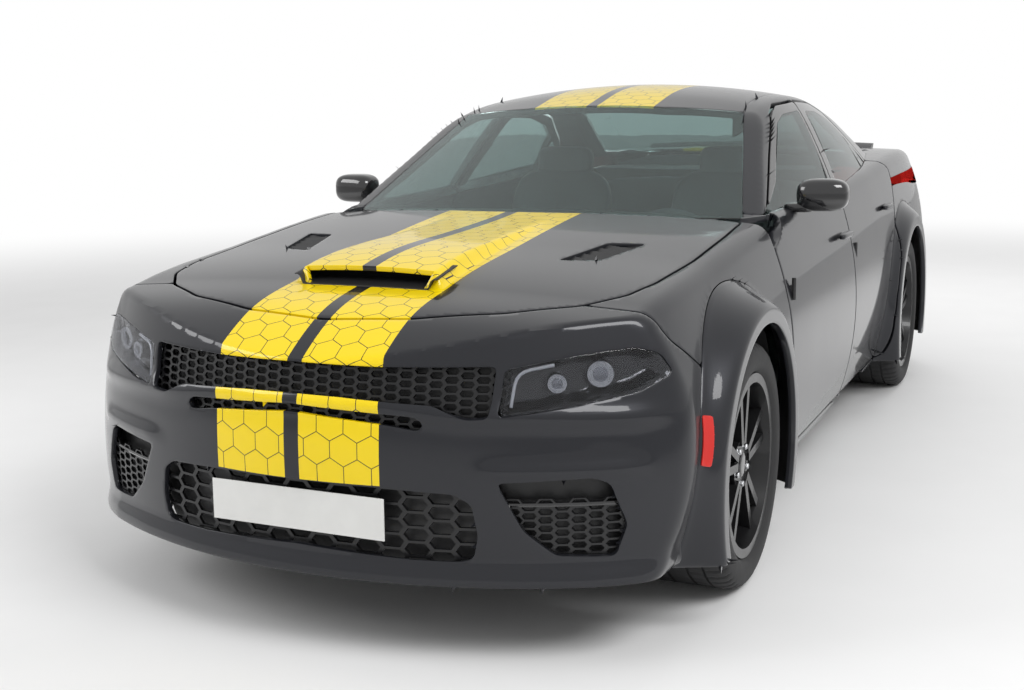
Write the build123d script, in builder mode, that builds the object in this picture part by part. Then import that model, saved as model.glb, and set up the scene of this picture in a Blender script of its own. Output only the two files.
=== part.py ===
"""A wide-bodied four-door muscle car: its shell is cut into the real panels, with doors, bonnet and boot lid on
their hinges, steered front wheels, glazing, lamps, grilles, seats and running gear.

Frame: +X forward, +Y to the car's left, +Z up, origin on the floor under the middle of the car. Millimetres.
"""

import os
from math import atan2, cos, degrees, hypot, radians, sin

from build123d import *

os.makedirs("parts", exist_ok=True)

# Driving dimensions
LENGTH = 5100.0
WHEELBASE = 3058.0
FRONT_OVERHANG = 955.0
HALF_TRACK = 815.0
BODY_HALF = 947.0
FLARE_HALF = 997.0
SILL_Z = 180.0
ROOF_Z = 1466.0
SKIN = 20.0
DOOR_WALL = 100.0
DOOR_WALL_IN = 700.0
FRAME_WALL = 34.0
GLASS = 5.0
SHUT_GAP = 8.5
SEAT_GAP = 0.4
SHOULDER_R = 70.0

# Wheels and tyres
TYRE_R = 361.0
TYRE_W = 305.0
RIM_R = 254.0
RIM_LIP = 15.0
RIM_HALF = 140.0
RIM_WALL = 12.0
SPOKES = 5
SPOKE_W = 24.0
SPOKE_DEPTH = 40.0
SPOKE_FACE = 120.0
HUB_R = 78.0
HAT_R = 85.0
DISC_R = 200.0
DISC_W = 32.0
AXLE_R = 30.0
AXLE_END = 55.0
ARCH_R = 408.0
FLARE_W = 110.0
LINER_R = 462.0
LINER_T = 5.0
LINER_IN = 600.0

# Uprights and suspension arms
KINGPIN_IN = 95.0
KINGPIN_R = 10.0
UPRIGHT_W = 90.0
UPRIGHT_LOW = 120.0
UPRIGHT_HIGH = 146.0
ARM_T = 24.0
SUBFRAME_Y = 360.0
SUBFRAME_Z = 290.0
RAIL_W = 60.0

# Walls, seats and hinges
PILLAR_WALL = 45.0
PILLAR_GAP = 24.0
PILLAR_JOIN_Z = 985.0
JACK_PAD_X = (700.0, -820.0)
JACK_PAD_Z = 166.0
FIXED_GAP = 0.8
PIN_GAP = 0.3
HINGE_PIN_R = 7.0
HINGE_PIN_HALF = 36.0
HINGE_ARM = 12.0
SLOT_HALF = 24.0
EDGE_R = 90.0
HINGE_HEIGHTS = (430.0, 790.0)
HOOD_HINGE_X = 920.0
HOOD_HINGE_Z = 962.0
HOOD_ARM_Y = 700.0
LID_HINGE_X = -1505.0
LID_HINGE_Z = 1035.0
LID_ARM_Y = 600.0
STRAP_W = 16.0
COWL_DROP = 30.0
SCREEN_BASE_Y = 742.0
LID_LOW_Z = 868.0
LAMP_DEPTH = 90.0
TAIL_LAMP_DEPTH = 60.0
SHEET = 12.0
FIREWALL_X = 1100.0
FLOOR_Z = 200.0
BOOT_Z = 545.0
FRONT_DAMPER_Z = 785.0
DIFF_FRONT = 200.0
CROSS_FRONT = -250.0
CROSS_W = 60.0
TUNNEL_Z = 380.0
TUNNEL_HALF = 120.0
TUNNEL_REAR = -775.0
GRILLE_IN = 14.0
GRILLE_T = 16.0
PIPE_R = 28.0
PLATE_W = 520.0
PLATE_H = 110.0
PLATE_Z = 560.0
PLATE_IN = 24.0
PLATE_T = 3.0
SPLITTER_Z = 151.0
SPLITTER_T = 22.0
TAILPIPE_R = 42.0
TAILPIPE_Y = 480.0
TAILPIPE_Z = 284.0
DRIVER_Y = 370.0
SEAT_W = 460.0

NOSE_X = LENGTH / 2
TAIL_X = -LENGTH / 2
FRONT_X = NOSE_X - FRONT_OVERHANG
REAR_X = FRONT_X - WHEELBASE
HUB_Z = TYRE_R
ARCH_Z = HUB_Z + 12.0
HINGE_IN = 15.0
HINGE_BACK = 60.0

# Shut lines seen from the side
DOOR_FRONT_X = 1000.0
PILLAR_B_X = -130.0
PILLAR_B_LEAN = 170.0
DOOR_LOW_Z = 222.0
DOOR_TOP_Z = 1386.0
DOOR_TOP_Y = 594.0
BELT_Z = 1000.0

# Cross-sections of the lower body. Columns: x, z_low, y_low, z_mid, y_mid, z_shoulder, y_shoulder, z_top
SECTIONS = [
    (NOSE_X + 15, 150, 850, 540, BODY_HALF - 22, 690, 800, 745),
    (NOSE_X - 170, 150, 860, 550, BODY_HALF - 12, 790, 830, 858),
    (NOSE_X - 450, 160, 870, 560, BODY_HALF - 7, 850, 850, 925),
    (FRONT_X, 170, 875, 580, BODY_HALF - 2, 905, 860, 990),
    (FRONT_X - 495, SILL_Z, 880, 600, BODY_HALF - 2, 955, 862, 1040),
    (0, SILL_Z, 880, 620, BODY_HALF, 1000, 872, 1070),
    (REAR_X + 563, SILL_Z, 880, 640, BODY_HALF, 1035, 880, 1100),
    (REAR_X, SILL_Z + 10, 880, 650, BODY_HALF + 3, 1060, 876, 1130),
    (TAIL_X + 450, 205, 870, 660, BODY_HALF - 7, 1070, 850, 1135),
    (TAIL_X - 15, 215, 850, 660, BODY_HALF - 47, 1050, 800, 1115),
]

# Plan outlines of the two ends. Columns: z, x_nose, x_corner, y_corner, x_side, x_side_rear, y_rear, x_rear, x_tail
ENDS = [
    (60, NOSE_X - 50, NOSE_X - 220, 700, 1900, -1950, 700, TAIL_X + 200, TAIL_X + 70),
    (420, NOSE_X, NOSE_X - 220, 760, 1950, -1950, 760, TAIL_X + 170, TAIL_X + 5),
    (650, NOSE_X - 5, NOSE_X - 250, 760, 1900, -1950, 760, TAIL_X + 160, TAIL_X),
    (1180, NOSE_X - 220, NOSE_X - 450, 740, 1700, -1900, 740, TAIL_X + 220, TAIL_X + 80),
]

# Plan outlines of the glasshouse. Columns: z, x_screen, x_screen_edge, y_screen_edge, x_pillar_a, y_pillar_a,
# x_side, y_side, x_pillar_c, y_pillar_c, x_light_edge, y_light_edge, x_light
GLASSHOUSE = [
    (940, 1169, 1005, 767, 965, 825, -100, 885, -2050, 790, -2150, 720, -2220),
    (1180, 718, 560, 659, 525, 715, -250, 775, -1460, 690, -1520, 640, -1580),
    (1400, 304, 152, 560, 120, 600, -300, 632, -900, 575, -940, 545, -990),
    (1490, 130, -10, 500, -40, 520, -350, 550, -690, 500, -720, 480, -760),
]

# Roof line. Columns: x, z on the centre line
ROOF = [
    (1400, 1230),
    (340, 1384),
    (60, 1440),
    (-250, ROOF_Z),
    (-620, ROOF_Z - 12),
    (-1000, 1404),
    (-1700, 1290),
    (-2300, 1200),
]
ROOF_CROWN = 58.0
ROOF_HALF = 620.0
WIDE = 1200.0
FAR = 2800.0


def section_plane(x):
    """A plane across the car at x, with Y to its right and Z up."""
    return Plane((x, 0, 0), x_dir=(0, 1, 0), z_dir=(1, 0, 0))


def lower_body(inset, drop=0.0):
    """The lower body as a solid, its walls moved in by inset and its floor down by drop."""
    r = SHOULDER_R
    with BuildPart() as along:
        for x, z_low, y_low, z_mid, y_mid, z_sh, y_sh, z_top in SECTIONS:
            low = (y_low - inset, z_low - drop)
            mid = (y_mid - inset, z_mid)
            shoulder = (y_sh - inset, z_sh - inset * 0.3)
            bend = (shoulder[0] - 0.297 * r, shoulder[1] + 0.424 * r)
            top = (shoulder[0] - 0.766 * r, shoulder[1] + 0.643 * r)
            with BuildSketch(section_plane(x)):
                with BuildLine():
                    Line((-low[0], low[1]), low)
                    ThreePointArc(low, mid, shoulder)
                    ThreePointArc(shoulder, bend, top)
                    ThreePointArc(top, (0, z_top - inset), (-top[0], top[1]))
                    ThreePointArc((-top[0], top[1]), (-bend[0], bend[1]), (-shoulder[0], shoulder[1]))
                    ThreePointArc((-shoulder[0], shoulder[1]), (-mid[0], mid[1]), (-low[0], low[1]))
                make_face()
        loft()
    with BuildPart() as ends:
        wide = FLARE_HALF + 13 - inset
        for z, x_nose, x_c, y_c, x_side, x_side_r, y_r, x_r, x_tail in ENDS:
            nose, corner = (x_nose - inset, 0), (x_c - inset, y_c - inset * 0.5)
            tail, back = (x_tail + inset, 0), (x_r + inset, y_r - inset * 0.5)
            with BuildSketch(Plane.XY.offset(z)):
                with BuildLine():
                    ThreePointArc((corner[0], -corner[1]), nose, corner)
                    Spline(corner, (x_side, wide), tangents=((-0.55, 0.8), (-1, 0)))
                    Line((x_side, wide), (x_side_r, wide))
                    Spline((x_side_r, wide), back, tangents=((-1, 0), (-0.5, -0.8)))
                    ThreePointArc(back, tail, (back[0], -back[1]))
                    Spline((back[0], -back[1]), (x_side_r, -wide), tangents=((0.5, -0.8), (1, 0)))
                    Line((x_side_r, -wide), (x_side, -wide))
                    Spline((x_side, -wide), (corner[0], -corner[1]), tangents=((1, 0), (0.55, 0.8)))
                make_face()
        loft()
    with BuildPart() as body:
        add(along.part)
        add(ends.part, mode=Mode.INTERSECT)
    return body.part


def glasshouse(inset):
    """The cabin above the waist as a solid, its walls and roof moved in by inset."""
    with BuildPart() as walls:
        for z, xs, xse, yse, xa, ya, xm, ym, xc, yc, xle, yle, xl in GLASSHOUSE:
            screen = [(xse - inset * 1.9, yse - inset * 0.4), (xs - inset * 1.9, 0)]
            pillar_a, side = (xa - inset * 1.6, ya - inset), (xm, ym - inset)
            pillar_c = (xc + inset * 1.6, yc - inset)
            light = [(xle + inset * 2.4, yle - inset * 0.6), (xl + inset * 2.4, 0)]
            with BuildSketch(Plane.XY.offset(z)):
                with BuildLine():
                    ThreePointArc((screen[0][0], -screen[0][1]), screen[1], screen[0])
                    Line(screen[0], pillar_a)
                    ThreePointArc(pillar_a, side, pillar_c)
                    Line(pillar_c, light[0])
                    ThreePointArc(light[0], light[1], (light[0][0], -light[0][1]))
                    Line((light[0][0], -light[0][1]), (pillar_c[0], -pillar_c[1]))
                    ThreePointArc((pillar_c[0], -pillar_c[1]), (side[0], -side[1]), (pillar_a[0], -pillar_a[1]))
                    Line((pillar_a[0], -pillar_a[1]), (screen[0][0], -screen[0][1]))
                make_face()
        loft()
    with BuildPart() as under_roof:
        for x, z in ROOF:
            crown, edge = z - inset, z - inset - ROOF_CROWN
            with BuildSketch(section_plane(x)):
                with BuildLine():
                    Polyline((ROOF_HALF + 300, edge - 80), (ROOF_HALF + 300, 800), (-ROOF_HALF - 300, 800),
                             (-ROOF_HALF - 300, edge - 80))
                    ThreePointArc((-ROOF_HALF - 300, edge - 80), (0, crown), (ROOF_HALF + 300, edge - 80))
                make_face()
        loft()
    with BuildPart() as house:
        add(walls.part)
        add(under_roof.part, mode=Mode.INTERSECT)
    return house.part


def side_prism(points, y_low=0.0, y_high=WIDE, grow=0.0):
    """The space between two planes across the car, inside an outline seen from the side, as (x, z) points."""
    with BuildPart() as prism:
        with BuildSketch(Plane.XZ.offset(-y_low)):
            with BuildLine():
                Polyline(*points, close=True)
            make_face()
            if grow:
                offset(amount=grow, kind=Kind.INTERSECTION, mode=Mode.REPLACE)
        extrude(amount=-(y_high - y_low))
    return prism.part


def plan_prism(points, z_low=0.0, z_high=1600.0, grow=0.0):
    """The space inside an outline seen from above, as (x, y) points."""
    with BuildPart() as prism:
        with BuildSketch(Plane.XY.offset(z_low)):
            with BuildLine():
                Polyline(*points, close=True)
            make_face()
            if grow:
                offset(amount=grow, kind=Kind.INTERSECTION, mode=Mode.REPLACE)
        extrude(amount=z_high - z_low)
    return prism.part


def front_prism(points, x_low, x_high, grow=0.0):
    """The space inside an outline seen from the front, as (y, z) points."""
    with BuildPart() as prism:
        with BuildSketch(section_plane(x_low)):
            with BuildLine():
                Polyline(*points, close=True)
            make_face()
            if grow:
                offset(amount=grow, kind=Kind.INTERSECTION, mode=Mode.REPLACE)
        extrude(amount=x_high - x_low)
    return prism.part


def wheel_drum(x, radius, y_low, y_high, z=ARCH_Z):
    """A cylinder across the car about an axle line."""
    with BuildPart() as drum:
        with BuildSketch(Plane.XZ.offset(-y_low)):
            with Locations((x, z)):
                Circle(radius)
        extrude(amount=-(y_high - y_low))
    return drum.part


def flare(x):
    """A wide wheel-arch flare: a ledge turned about the axle line, open at the bottom."""
    with BuildPart() as ring:
        with BuildSketch(Plane.XY.offset(ARCH_Z)):
            with BuildLine():
                Polyline(
                    (x + ARCH_R - 20, BODY_HALF - 90),
                    (x + ARCH_R - 20, FLARE_HALF - 8),
                    (x + ARCH_R, FLARE_HALF),
                    (x + ARCH_R + 45, FLARE_HALF),
                    (x + ARCH_R + FLARE_W, BODY_HALF - 5),
                    (x + ARCH_R + FLARE_W, BODY_HALF - 90),
                    close=True,
                )
            make_face()
        revolve(axis=Axis((x, 0, ARCH_Z), (0, 1, 0)), revolution_arc=360)
        with BuildSketch(Plane.XY.offset(-300)):
            with Locations((x, BODY_HALF)):
                Rectangle(3 * ARCH_R, 400)
        extrude(amount=300 + SILL_Z + 10, mode=Mode.SUBTRACT)
    return ring.part


def save(block, label):
    """Labels a finished piece and writes it."""
    block.part.label = label
    export_step(block.part, f"parts/{label}.step")


def mirrored_front(line):
    """A closed outline across the car from its left half, as (y, z)."""
    return line + [(-y, z) for y, z in reversed(line) if y]


def save_pair(block, label):
    """Labels and writes the left piece and its mirror image."""
    save(block, label + "_left")
    with BuildPart() as other:
        mirror(block.part, about=Plane.XZ)
    save(other, label + "_right")


# Master solids
body_outer = lower_body(0)
body_inner = lower_body(SKIN, drop=80)
body_seat = lower_body(SKIN + SEAT_GAP, drop=80)
body_deep = lower_body(DOOR_WALL, drop=80)
body_deep_seat = lower_body(DOOR_WALL + SEAT_GAP, drop=80)
body_pillar = lower_body(DOOR_WALL + PILLAR_GAP, drop=80)
body_deeper = lower_body(DOOR_WALL + PILLAR_GAP + PILLAR_WALL, drop=80)
house_outer = glasshouse(0)
house_inner = glasshouse(FRAME_WALL)
house_pillar = glasshouse(FRAME_WALL + PILLAR_GAP)
house_deeper = glasshouse(FRAME_WALL + PILLAR_GAP + PILLAR_WALL * 0.8)
house_glass = glasshouse(GLASS)


def trimmed(solid, *cutters, keep=()):
    """A solid with cutters taken away, kept inside each of keep."""
    with BuildPart() as piece:
        add(solid)
        for region in keep:
            add(region, mode=Mode.INTERSECT)
        for cutter in cutters:
            add(cutter, mode=Mode.SUBTRACT)
    return piece.part


def box(x0, x1, y0, y1, z0, z1):
    """A box between two corners."""
    with BuildPart() as block:
        with Locations(((x0 + x1) / 2, (y0 + y1) / 2, (z0 + z1) / 2)):
            Box(x1 - x0, y1 - y0, z1 - z0)
    return block.part


def strap(points, width, y_low, y_high):
    """A flat bar that follows points (x, z), with round ends, between two planes across the car."""
    with BuildPart() as bar:
        with BuildSketch(Plane.XZ.offset(-y_low)):
            for (xa, za), (xb, zb) in zip(points, points[1:]):
                with Locations(((xa + xb) / 2, (za + zb) / 2)):
                    SlotCenterToCenter(hypot(xb - xa, zb - za), width, rotation=degrees(atan2(zb - za, xb - xa)))
        extrude(amount=-(y_high - y_low))
    return bar.part


def rod(start, end, radius):
    """A round bar from one point to another."""
    along = Vector(*end) - Vector(*start)
    with BuildPart() as bar:
        with BuildSketch(Plane(start, z_dir=along)):
            Circle(radius)
        extrude(amount=along.length)
    return bar.part


def free_edge(hinge_x, rows, extra=0.0):
    """The space that a door swings in: its free edge, as rows of (x, y, z), turned about the hinge line."""
    profile = [(hypot(hinge_x - x, HINGE_Y - y) + extra, z) for x, y, z in rows]
    low, high = rows[0][2] - 60, rows[-1][2] + 60
    with BuildPart() as swing:
        with BuildSketch(Plane((hinge_x, HINGE_Y, 0), x_dir=(1, 0, 0), z_dir=(0, -1, 0))):
            with BuildLine():
                Polyline((0, low), (profile[0][0], low), *profile, (profile[-1][0], high), (0, high), close=True)
            make_face()
        revolve(axis=Axis((hinge_x, HINGE_Y, 0), (0, 0, 1)))
    return swing.part


left_half = box(-FAR, FAR, FIXED_GAP / 2, WIDE, 0, 2000)
HINGE_Y = BODY_HALF - 4 - HINGE_IN
FRONT_HINGE_X = DOOR_FRONT_X - HINGE_BACK
REAR_HINGE_X = PILLAR_B_X - SHUT_GAP - HINGE_BACK

# Door outlines from the side, as (x, z). The free edges run long because free_edge trims them.
pillar_b_top = PILLAR_B_X - PILLAR_B_LEAN
front_door_line = [
    (DOOR_FRONT_X, DOOR_LOW_Z), (DOOR_FRONT_X, 925), (905, 950), (525, 1140), (120, 1342), (-10, 1374),
    (pillar_b_top, DOOR_TOP_Z), (-700, DOOR_TOP_Z), (-700, DOOR_LOW_Z),
]
pillar_mid_z = 1190
pillar_mid = PILLAR_B_X - PILLAR_B_LEAN * (pillar_mid_z - BELT_Z) / (DOOR_TOP_Z - BELT_Z)
front_free = [(PILLAR_B_X, 945, DOOR_LOW_Z), (PILLAR_B_X, 872, BELT_Z), (pillar_mid, 762, pillar_mid_z),
              (pillar_b_top, 634, DOOR_TOP_Z)]
rear_door_line = [
    (PILLAR_B_X - SHUT_GAP, DOOR_LOW_Z), (PILLAR_B_X - SHUT_GAP, BELT_Z), (pillar_b_top - SHUT_GAP, DOOR_TOP_Z),
    (-600, 1376), (-820, 1336), (-1080, 1215), (-1300, 1062), (-1700, 1062),
    (-1700, DOOR_LOW_Z),
]
rear_free = [(-980, 960, DOOR_LOW_Z), (-984, 990, 400), (-1003, 990, 500), (-1045, 990, 600), (-1180, 948, 820), (-1285, 885, 1000),
             (-1300, 850, 1062), (-1300, 640, 1300)]

body_shell = trimmed(body_outer + house_outer + flare(FRONT_X) + flare(REAR_X), keep=[left_half])
cabin_space = trimmed(body_deep, keep=[box(-1290, 1090, -WIDE, WIDE, 0, 2000)]) + house_inner
arches = wheel_drum(FRONT_X, ARCH_R, 600, WIDE) + wheel_drum(REAR_X, ARCH_R, 600, WIDE)


def door(line, free, hinge_x, window_lines):
    """A left door with its windows cut: hung at hinge_x, as thick as the whole door, its window frame seated at the belt."""
    with BuildPart() as leaf:
        add(body_shell)
        add(side_prism(line), mode=Mode.INTERSECT)
        add(free_edge(hinge_x, free), mode=Mode.INTERSECT)
        add(cabin_space, mode=Mode.SUBTRACT)
        add(arches, mode=Mode.SUBTRACT)
        add(box(-FAR, FAR, 0, DOOR_TOP_Y, DOOR_TOP_Z - 50, 2000), mode=Mode.SUBTRACT)
        for window in window_lines:
            add(side_prism(window, 500), mode=Mode.SUBTRACT)
        add(box(-FAR, FAR, 0, WIDE, BELT_Z, BELT_Z + SEAT_GAP), mode=Mode.SUBTRACT)
        edge_zone = box(hinge_x, hinge_x + HINGE_BACK + 20, 700, WIDE, DOOR_LOW_Z - 20, 975)
        add(trimmed(edge_zone, rod((hinge_x, HINGE_Y, 100), (hinge_x, HINGE_Y, 1100), EDGE_R)), mode=Mode.SUBTRACT)
        for z in HINGE_HEIGHTS:
            slot = box(hinge_x - 22, hinge_x + HINGE_BACK + 20, HINGE_Y - 150, HINGE_Y + HINGE_PIN_R + 2,
                       z - SLOT_HALF, z + SLOT_HALF)
            add(slot, mode=Mode.SUBTRACT)
            with Locations((hinge_x, HINGE_Y, z)):
                Cylinder(HINGE_PIN_R + PIN_GAP, 2 * HINGE_PIN_HALF + 2, mode=Mode.SUBTRACT)
    return leaf


def panes(window_lines):
    """The panes of a left door, each a little smaller than its opening."""
    with BuildPart() as glass:
        for window in window_lines:
            add(trimmed(house_outer, house_glass, keep=[side_prism(window, 500, WIDE, -SEAT_GAP)]))
    return glass


front_windows = [[(800, 1010), (520, 1108), (128, 1308), (-8, 1340), (-255, 1350), (-98, 1030)]]
rear_windows = [
    [(-228, 1040), (-378, 1346), (-598, 1340), (-815, 1300), (-962, 1236), (-1010, 1066)],
    [(-1038, 1068), (-992, 1222), (-1070, 1184), (-1215, 1082)],
]

door_front = door(front_door_line, front_free, FRONT_HINGE_X, front_windows)
save_pair(door_front, "door_front")
door_rear = door(rear_door_line, rear_free, REAR_HINGE_X, rear_windows)
save_pair(door_rear, "door_rear")
save_pair(panes(front_windows), "glass_front")
save_pair(panes(rear_windows), "glass_rear")
print("doors")

# Plan outlines, as (x, y) on the left, mirrored to close
hood_line = [(NOSE_X - 176, 0), (2345, 250), (2270, 480), (2160, 640), (2040, 725), (1900, 757), (FRONT_X, 775),
             (1250, 775), (1010, 765), (1030, 600), (1075, 350), (1110, 140), (1120, 0)]
lid_line = [(-1768, 0), (-1745, 300), (-1680, 540), (-1655, 655), (-2200, 655), (-2700, 640), (-2700, 0)]
screen_line = [(1330, 0), (1300, 500), (1150, SCREEN_BASE_Y), (894, SCREEN_BASE_Y), (241, 575), (310, 300), (332, 0)]
light_line = [(-1000, 0), (-985, 300), (-945, 530), (-1620, 640), (-1900, 690), (-2000, 0)]
roof_line = [(332, 0), (310, 300), (241, 575), (100, 555), (-400, 560), (-700, 548), (-945, 530), (-985, 300), (-1000, 0)]


def mirrored(line):
    """A closed outline from its left half."""
    return line + [(x, -y) for x, y in reversed(line) if y]


def both(solid):
    """A left solid and its mirror image."""
    return solid + mirror(solid, about=Plane.XZ)


# Outlines from the front, as (y, z)
lamp_line = [(505, 745), (700, 778), (860, 790), (893, 768), (868, 718), (760, 668), (480, 613)]
tail_line = [(655, 1012), (655, 925), (800, 925), (900, 940), (900, 1020)]
lid_lamp_line = [(0, 1012), (638, 1012), (638, 925), (0, 925)]
grille_line = [(0, 762), (300, 750), (495, 738), (470, 690), (440, 612), (400, 612), (350, 690), (0, 702)]
slot_line = [(0, 676), (330, 668), (365, 640), (340, 625), (0, 625)]
intake_line = [(0, 476), (430, 480), (500, 430), (535, 310), (500, 290), (0, 262)]
duct_line = [(640, 540), (850, 520), (868, 480), (860, 300), (790, 290), (700, 330)]

# Outlines from the side, as (x, z)
bumper_line = [(2120, 812), (1905, 668), (1800, 500), (1800, 60), (2700, 60), (2700, 1100), (2250, 1100)]
rear_bumper_line = [(-1880, 560), (-2000, 700), (-2130, 850), (-2450, LID_LOW_Z - SHUT_GAP), (-2700, LID_LOW_Z - SHUT_GAP),
                    (-2700, 60), (-1700, 60), (-1700, 560)]
pillar_b = [(PILLAR_B_X + 50, SILL_Z + 5), (PILLAR_B_X + 50, 1000), (pillar_b_top + 40, 1420), (pillar_b_top - 60, 1420),
            (PILLAR_B_X - 90, 1000), (PILLAR_B_X - 90, SILL_Z + 5)]

hood_opening = plan_prism(mirrored(hood_line), 500, grow=SHUT_GAP)
lid_opening = plan_prism(mirrored(lid_line), LID_LOW_Z - SHUT_GAP, grow=SHUT_GAP)
skin_shell = trimmed(body_outer + both(flare(FRONT_X) + flare(REAR_X)), body_inner, both(arches))

# Bonnet, with the goose-neck straps of its hinges
hood_edge_r = hypot(1010 - SHUT_GAP - HOOD_HINGE_X, 41) + 5.5
with BuildPart() as hood:
    add(body_outer)
    add(plan_prism(mirrored(hood_line), 700), mode=Mode.INTERSECT)
    add(body_inner, mode=Mode.SUBTRACT)
    with Locations(Location((HOOD_HINGE_X, 0, HOOD_HINGE_Z), (90, 0, 0))):
        Cylinder(hood_edge_r, 2 * WIDE, mode=Mode.SUBTRACT)
    neck = [(HOOD_HINGE_X, HOOD_HINGE_Z), (HOOD_HINGE_X + 88, HOOD_HINGE_Z - 62), (HOOD_HINGE_X + 118, HOOD_HINGE_Z + 10),
            (HOOD_HINGE_X + 122, HOOD_HINGE_Z + 60)]
    for y in (-HOOD_ARM_Y - HINGE_ARM, HOOD_ARM_Y):
        add(trimmed(strap(neck, STRAP_W, y, y + HINGE_ARM), keep=[body_outer]))
    with Locations(Location((HOOD_HINGE_X, 0, HOOD_HINGE_Z), (90, 0, 0))):
        Cylinder(HINGE_PIN_R + PIN_GAP - 2, 2 * WIDE, mode=Mode.SUBTRACT)
save(hood, "hood")

# Boot lid, with its lip and the straps of its hinges
lid_edge_r = hypot(LID_HINGE_X + 1655 - SHUT_GAP, 82) + 5.5
lip_line = [(-2395, 1085), (-2510, 1130), (-2515, 1152), (-2480, 1150), (-2390, 1118)]
with BuildPart() as trunk_lid:
    add(body_outer)
    add(plan_prism(mirrored(lid_line), LID_LOW_Z), mode=Mode.INTERSECT)
    add(body_inner, mode=Mode.SUBTRACT)
    with Locations(Location((LID_HINGE_X, 0, LID_HINGE_Z), (90, 0, 0))):
        Cylinder(lid_edge_r, 2 * WIDE, mode=Mode.SUBTRACT)
    add(trimmed(side_prism(lip_line, -630, 630), keep=[plan_prism(mirrored([(-2300, 635), (-2440, 630), (-2515, 0)]), 1000)]))
    neck = [(LID_HINGE_X, LID_HINGE_Z), (LID_HINGE_X - 150, LID_HINGE_Z - 125), (LID_HINGE_X - 216, LID_HINGE_Z),
            (LID_HINGE_X - 216, LID_HINGE_Z + 100)]
    for y in (-LID_ARM_Y - HINGE_ARM, LID_ARM_Y):
        add(trimmed(strap(neck, STRAP_W, y, y + HINGE_ARM), keep=[body_outer]))
    with Locations(Location((LID_HINGE_X, 0, LID_HINGE_Z), (90, 0, 0))):
        Cylinder(HINGE_PIN_R + PIN_GAP - 2, 2 * WIDE, mode=Mode.SUBTRACT)
    add(front_prism(mirrored_front(lid_lamp_line), -2700, -2300), mode=Mode.SUBTRACT)
save(trunk_lid, "trunk_lid")

with BuildPart() as lid_lamp:
    add(body_outer)
    add(front_prism(mirrored_front(lid_lamp_line), -2700, -2300, -SEAT_GAP), mode=Mode.INTERSECT)
    add(lower_body(TAIL_LAMP_DEPTH), mode=Mode.SUBTRACT)
save(lid_lamp, "lid_lamp")

with BuildPart() as tail_lamp:
    add(body_outer)
    add(front_prism(tail_line, -2700, -2250, -SEAT_GAP), mode=Mode.INTERSECT)
    add(lower_body(TAIL_LAMP_DEPTH), mode=Mode.SUBTRACT)
save_pair(tail_lamp, "tail_lamp")
print("bonnet, lid, tail lamps")

# Front bumper with its splitter lip
with BuildPart() as front_bumper:
    add(skin_shell)
    add(side_prism(bumper_line, -WIDE, WIDE), mode=Mode.INTERSECT)
    add(hood_opening, mode=Mode.SUBTRACT)
    for line in (grille_line, slot_line, intake_line):
        add(front_prism(mirrored_front(line), 2150, 2700), mode=Mode.SUBTRACT)
    for line in (duct_line, lamp_line):
        add(both(front_prism(line, 1950, 2700)), mode=Mode.SUBTRACT)
    with BuildSketch(Plane.XY.offset(SPLITTER_Z)):
        with BuildLine():
            ThreePointArc((2330, 745), (NOSE_X - 20, 0), (2330, -745))
            ThreePointArc((2330, -745), (2190, -872), (1965, -950))
            Line((1965, -950), (1965, -870))
            ThreePointArc((1965, -870), (2150, -790), (2280, -670))
            ThreePointArc((2280, -670), (NOSE_X - 110, 0), (2280, 670))
            ThreePointArc((2280, 670), (2150, 790), (1965, 870))
            Line((1965, 870), (1965, 950))
            ThreePointArc((1965, 950), (2190, 872), (2330, 745))
        make_face()
    extrude(amount=SPLITTER_T)
save(front_bumper, "front_bumper")

with BuildPart() as headlamp:
    add(body_outer)
    add(front_prism(lamp_line, 1950, 2700, -SEAT_GAP), mode=Mode.INTERSECT)
    add(lower_body(LAMP_DEPTH), mode=Mode.SUBTRACT)
save_pair(headlamp, "headlamp")

with BuildPart() as fender:
    add(skin_shell)
    add(box(DOOR_FRONT_X + SHUT_GAP, 2400, 300, WIDE, SILL_Z, 1100), mode=Mode.INTERSECT)
    add(side_prism(bumper_line, -WIDE, WIDE, FIXED_GAP), mode=Mode.SUBTRACT)
    add(hood_opening, mode=Mode.SUBTRACT)
    add(front_prism(lamp_line, 1950, 2700), mode=Mode.SUBTRACT)
    add(plan_prism(mirrored(screen_line), 600), mode=Mode.SUBTRACT)
save_pair(fender, "fender")

# Grilles behind the openings of the front bumper
with BuildPart() as grilles:
    for line in (mirrored_front(grille_line), mirrored_front(slot_line), mirrored_front(intake_line)):
        add(front_prism(line, 2150, 2700, -SEAT_GAP))
    add(both(front_prism(duct_line, 2000, 2700, -SEAT_GAP)))
    add(lower_body(GRILLE_IN), mode=Mode.INTERSECT)
    add(lower_body(GRILLE_IN + GRILLE_T), mode=Mode.SUBTRACT)
save(grilles, "grilles")

with BuildPart() as rear_bumper:
    add(skin_shell)
    add(side_prism(rear_bumper_line, -WIDE, WIDE), mode=Mode.INTERSECT)
    add(box(-2700, TAIL_X + 60, -PLATE_W / 2 - 20, PLATE_W / 2 + 20, PLATE_Z, PLATE_Z + PLATE_H + 40),
        mode=Mode.SUBTRACT)
    add(trimmed(box(TAIL_X + PLATE_IN, TAIL_X + 60, -PLATE_W / 2 - 50, PLATE_W / 2 + 50, PLATE_Z - 20,
                    PLATE_Z + PLATE_H + 60), keep=[body_outer]))
    for y in (-TAILPIPE_Y, TAILPIPE_Y):
        add(rod((-2700, y, TAILPIPE_Z), (-2350, y, TAILPIPE_Z), TAILPIPE_R + 8), mode=Mode.SUBTRACT)
save(rear_bumper, "rear_bumper")
print("bumpers, fenders, grilles")

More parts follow.
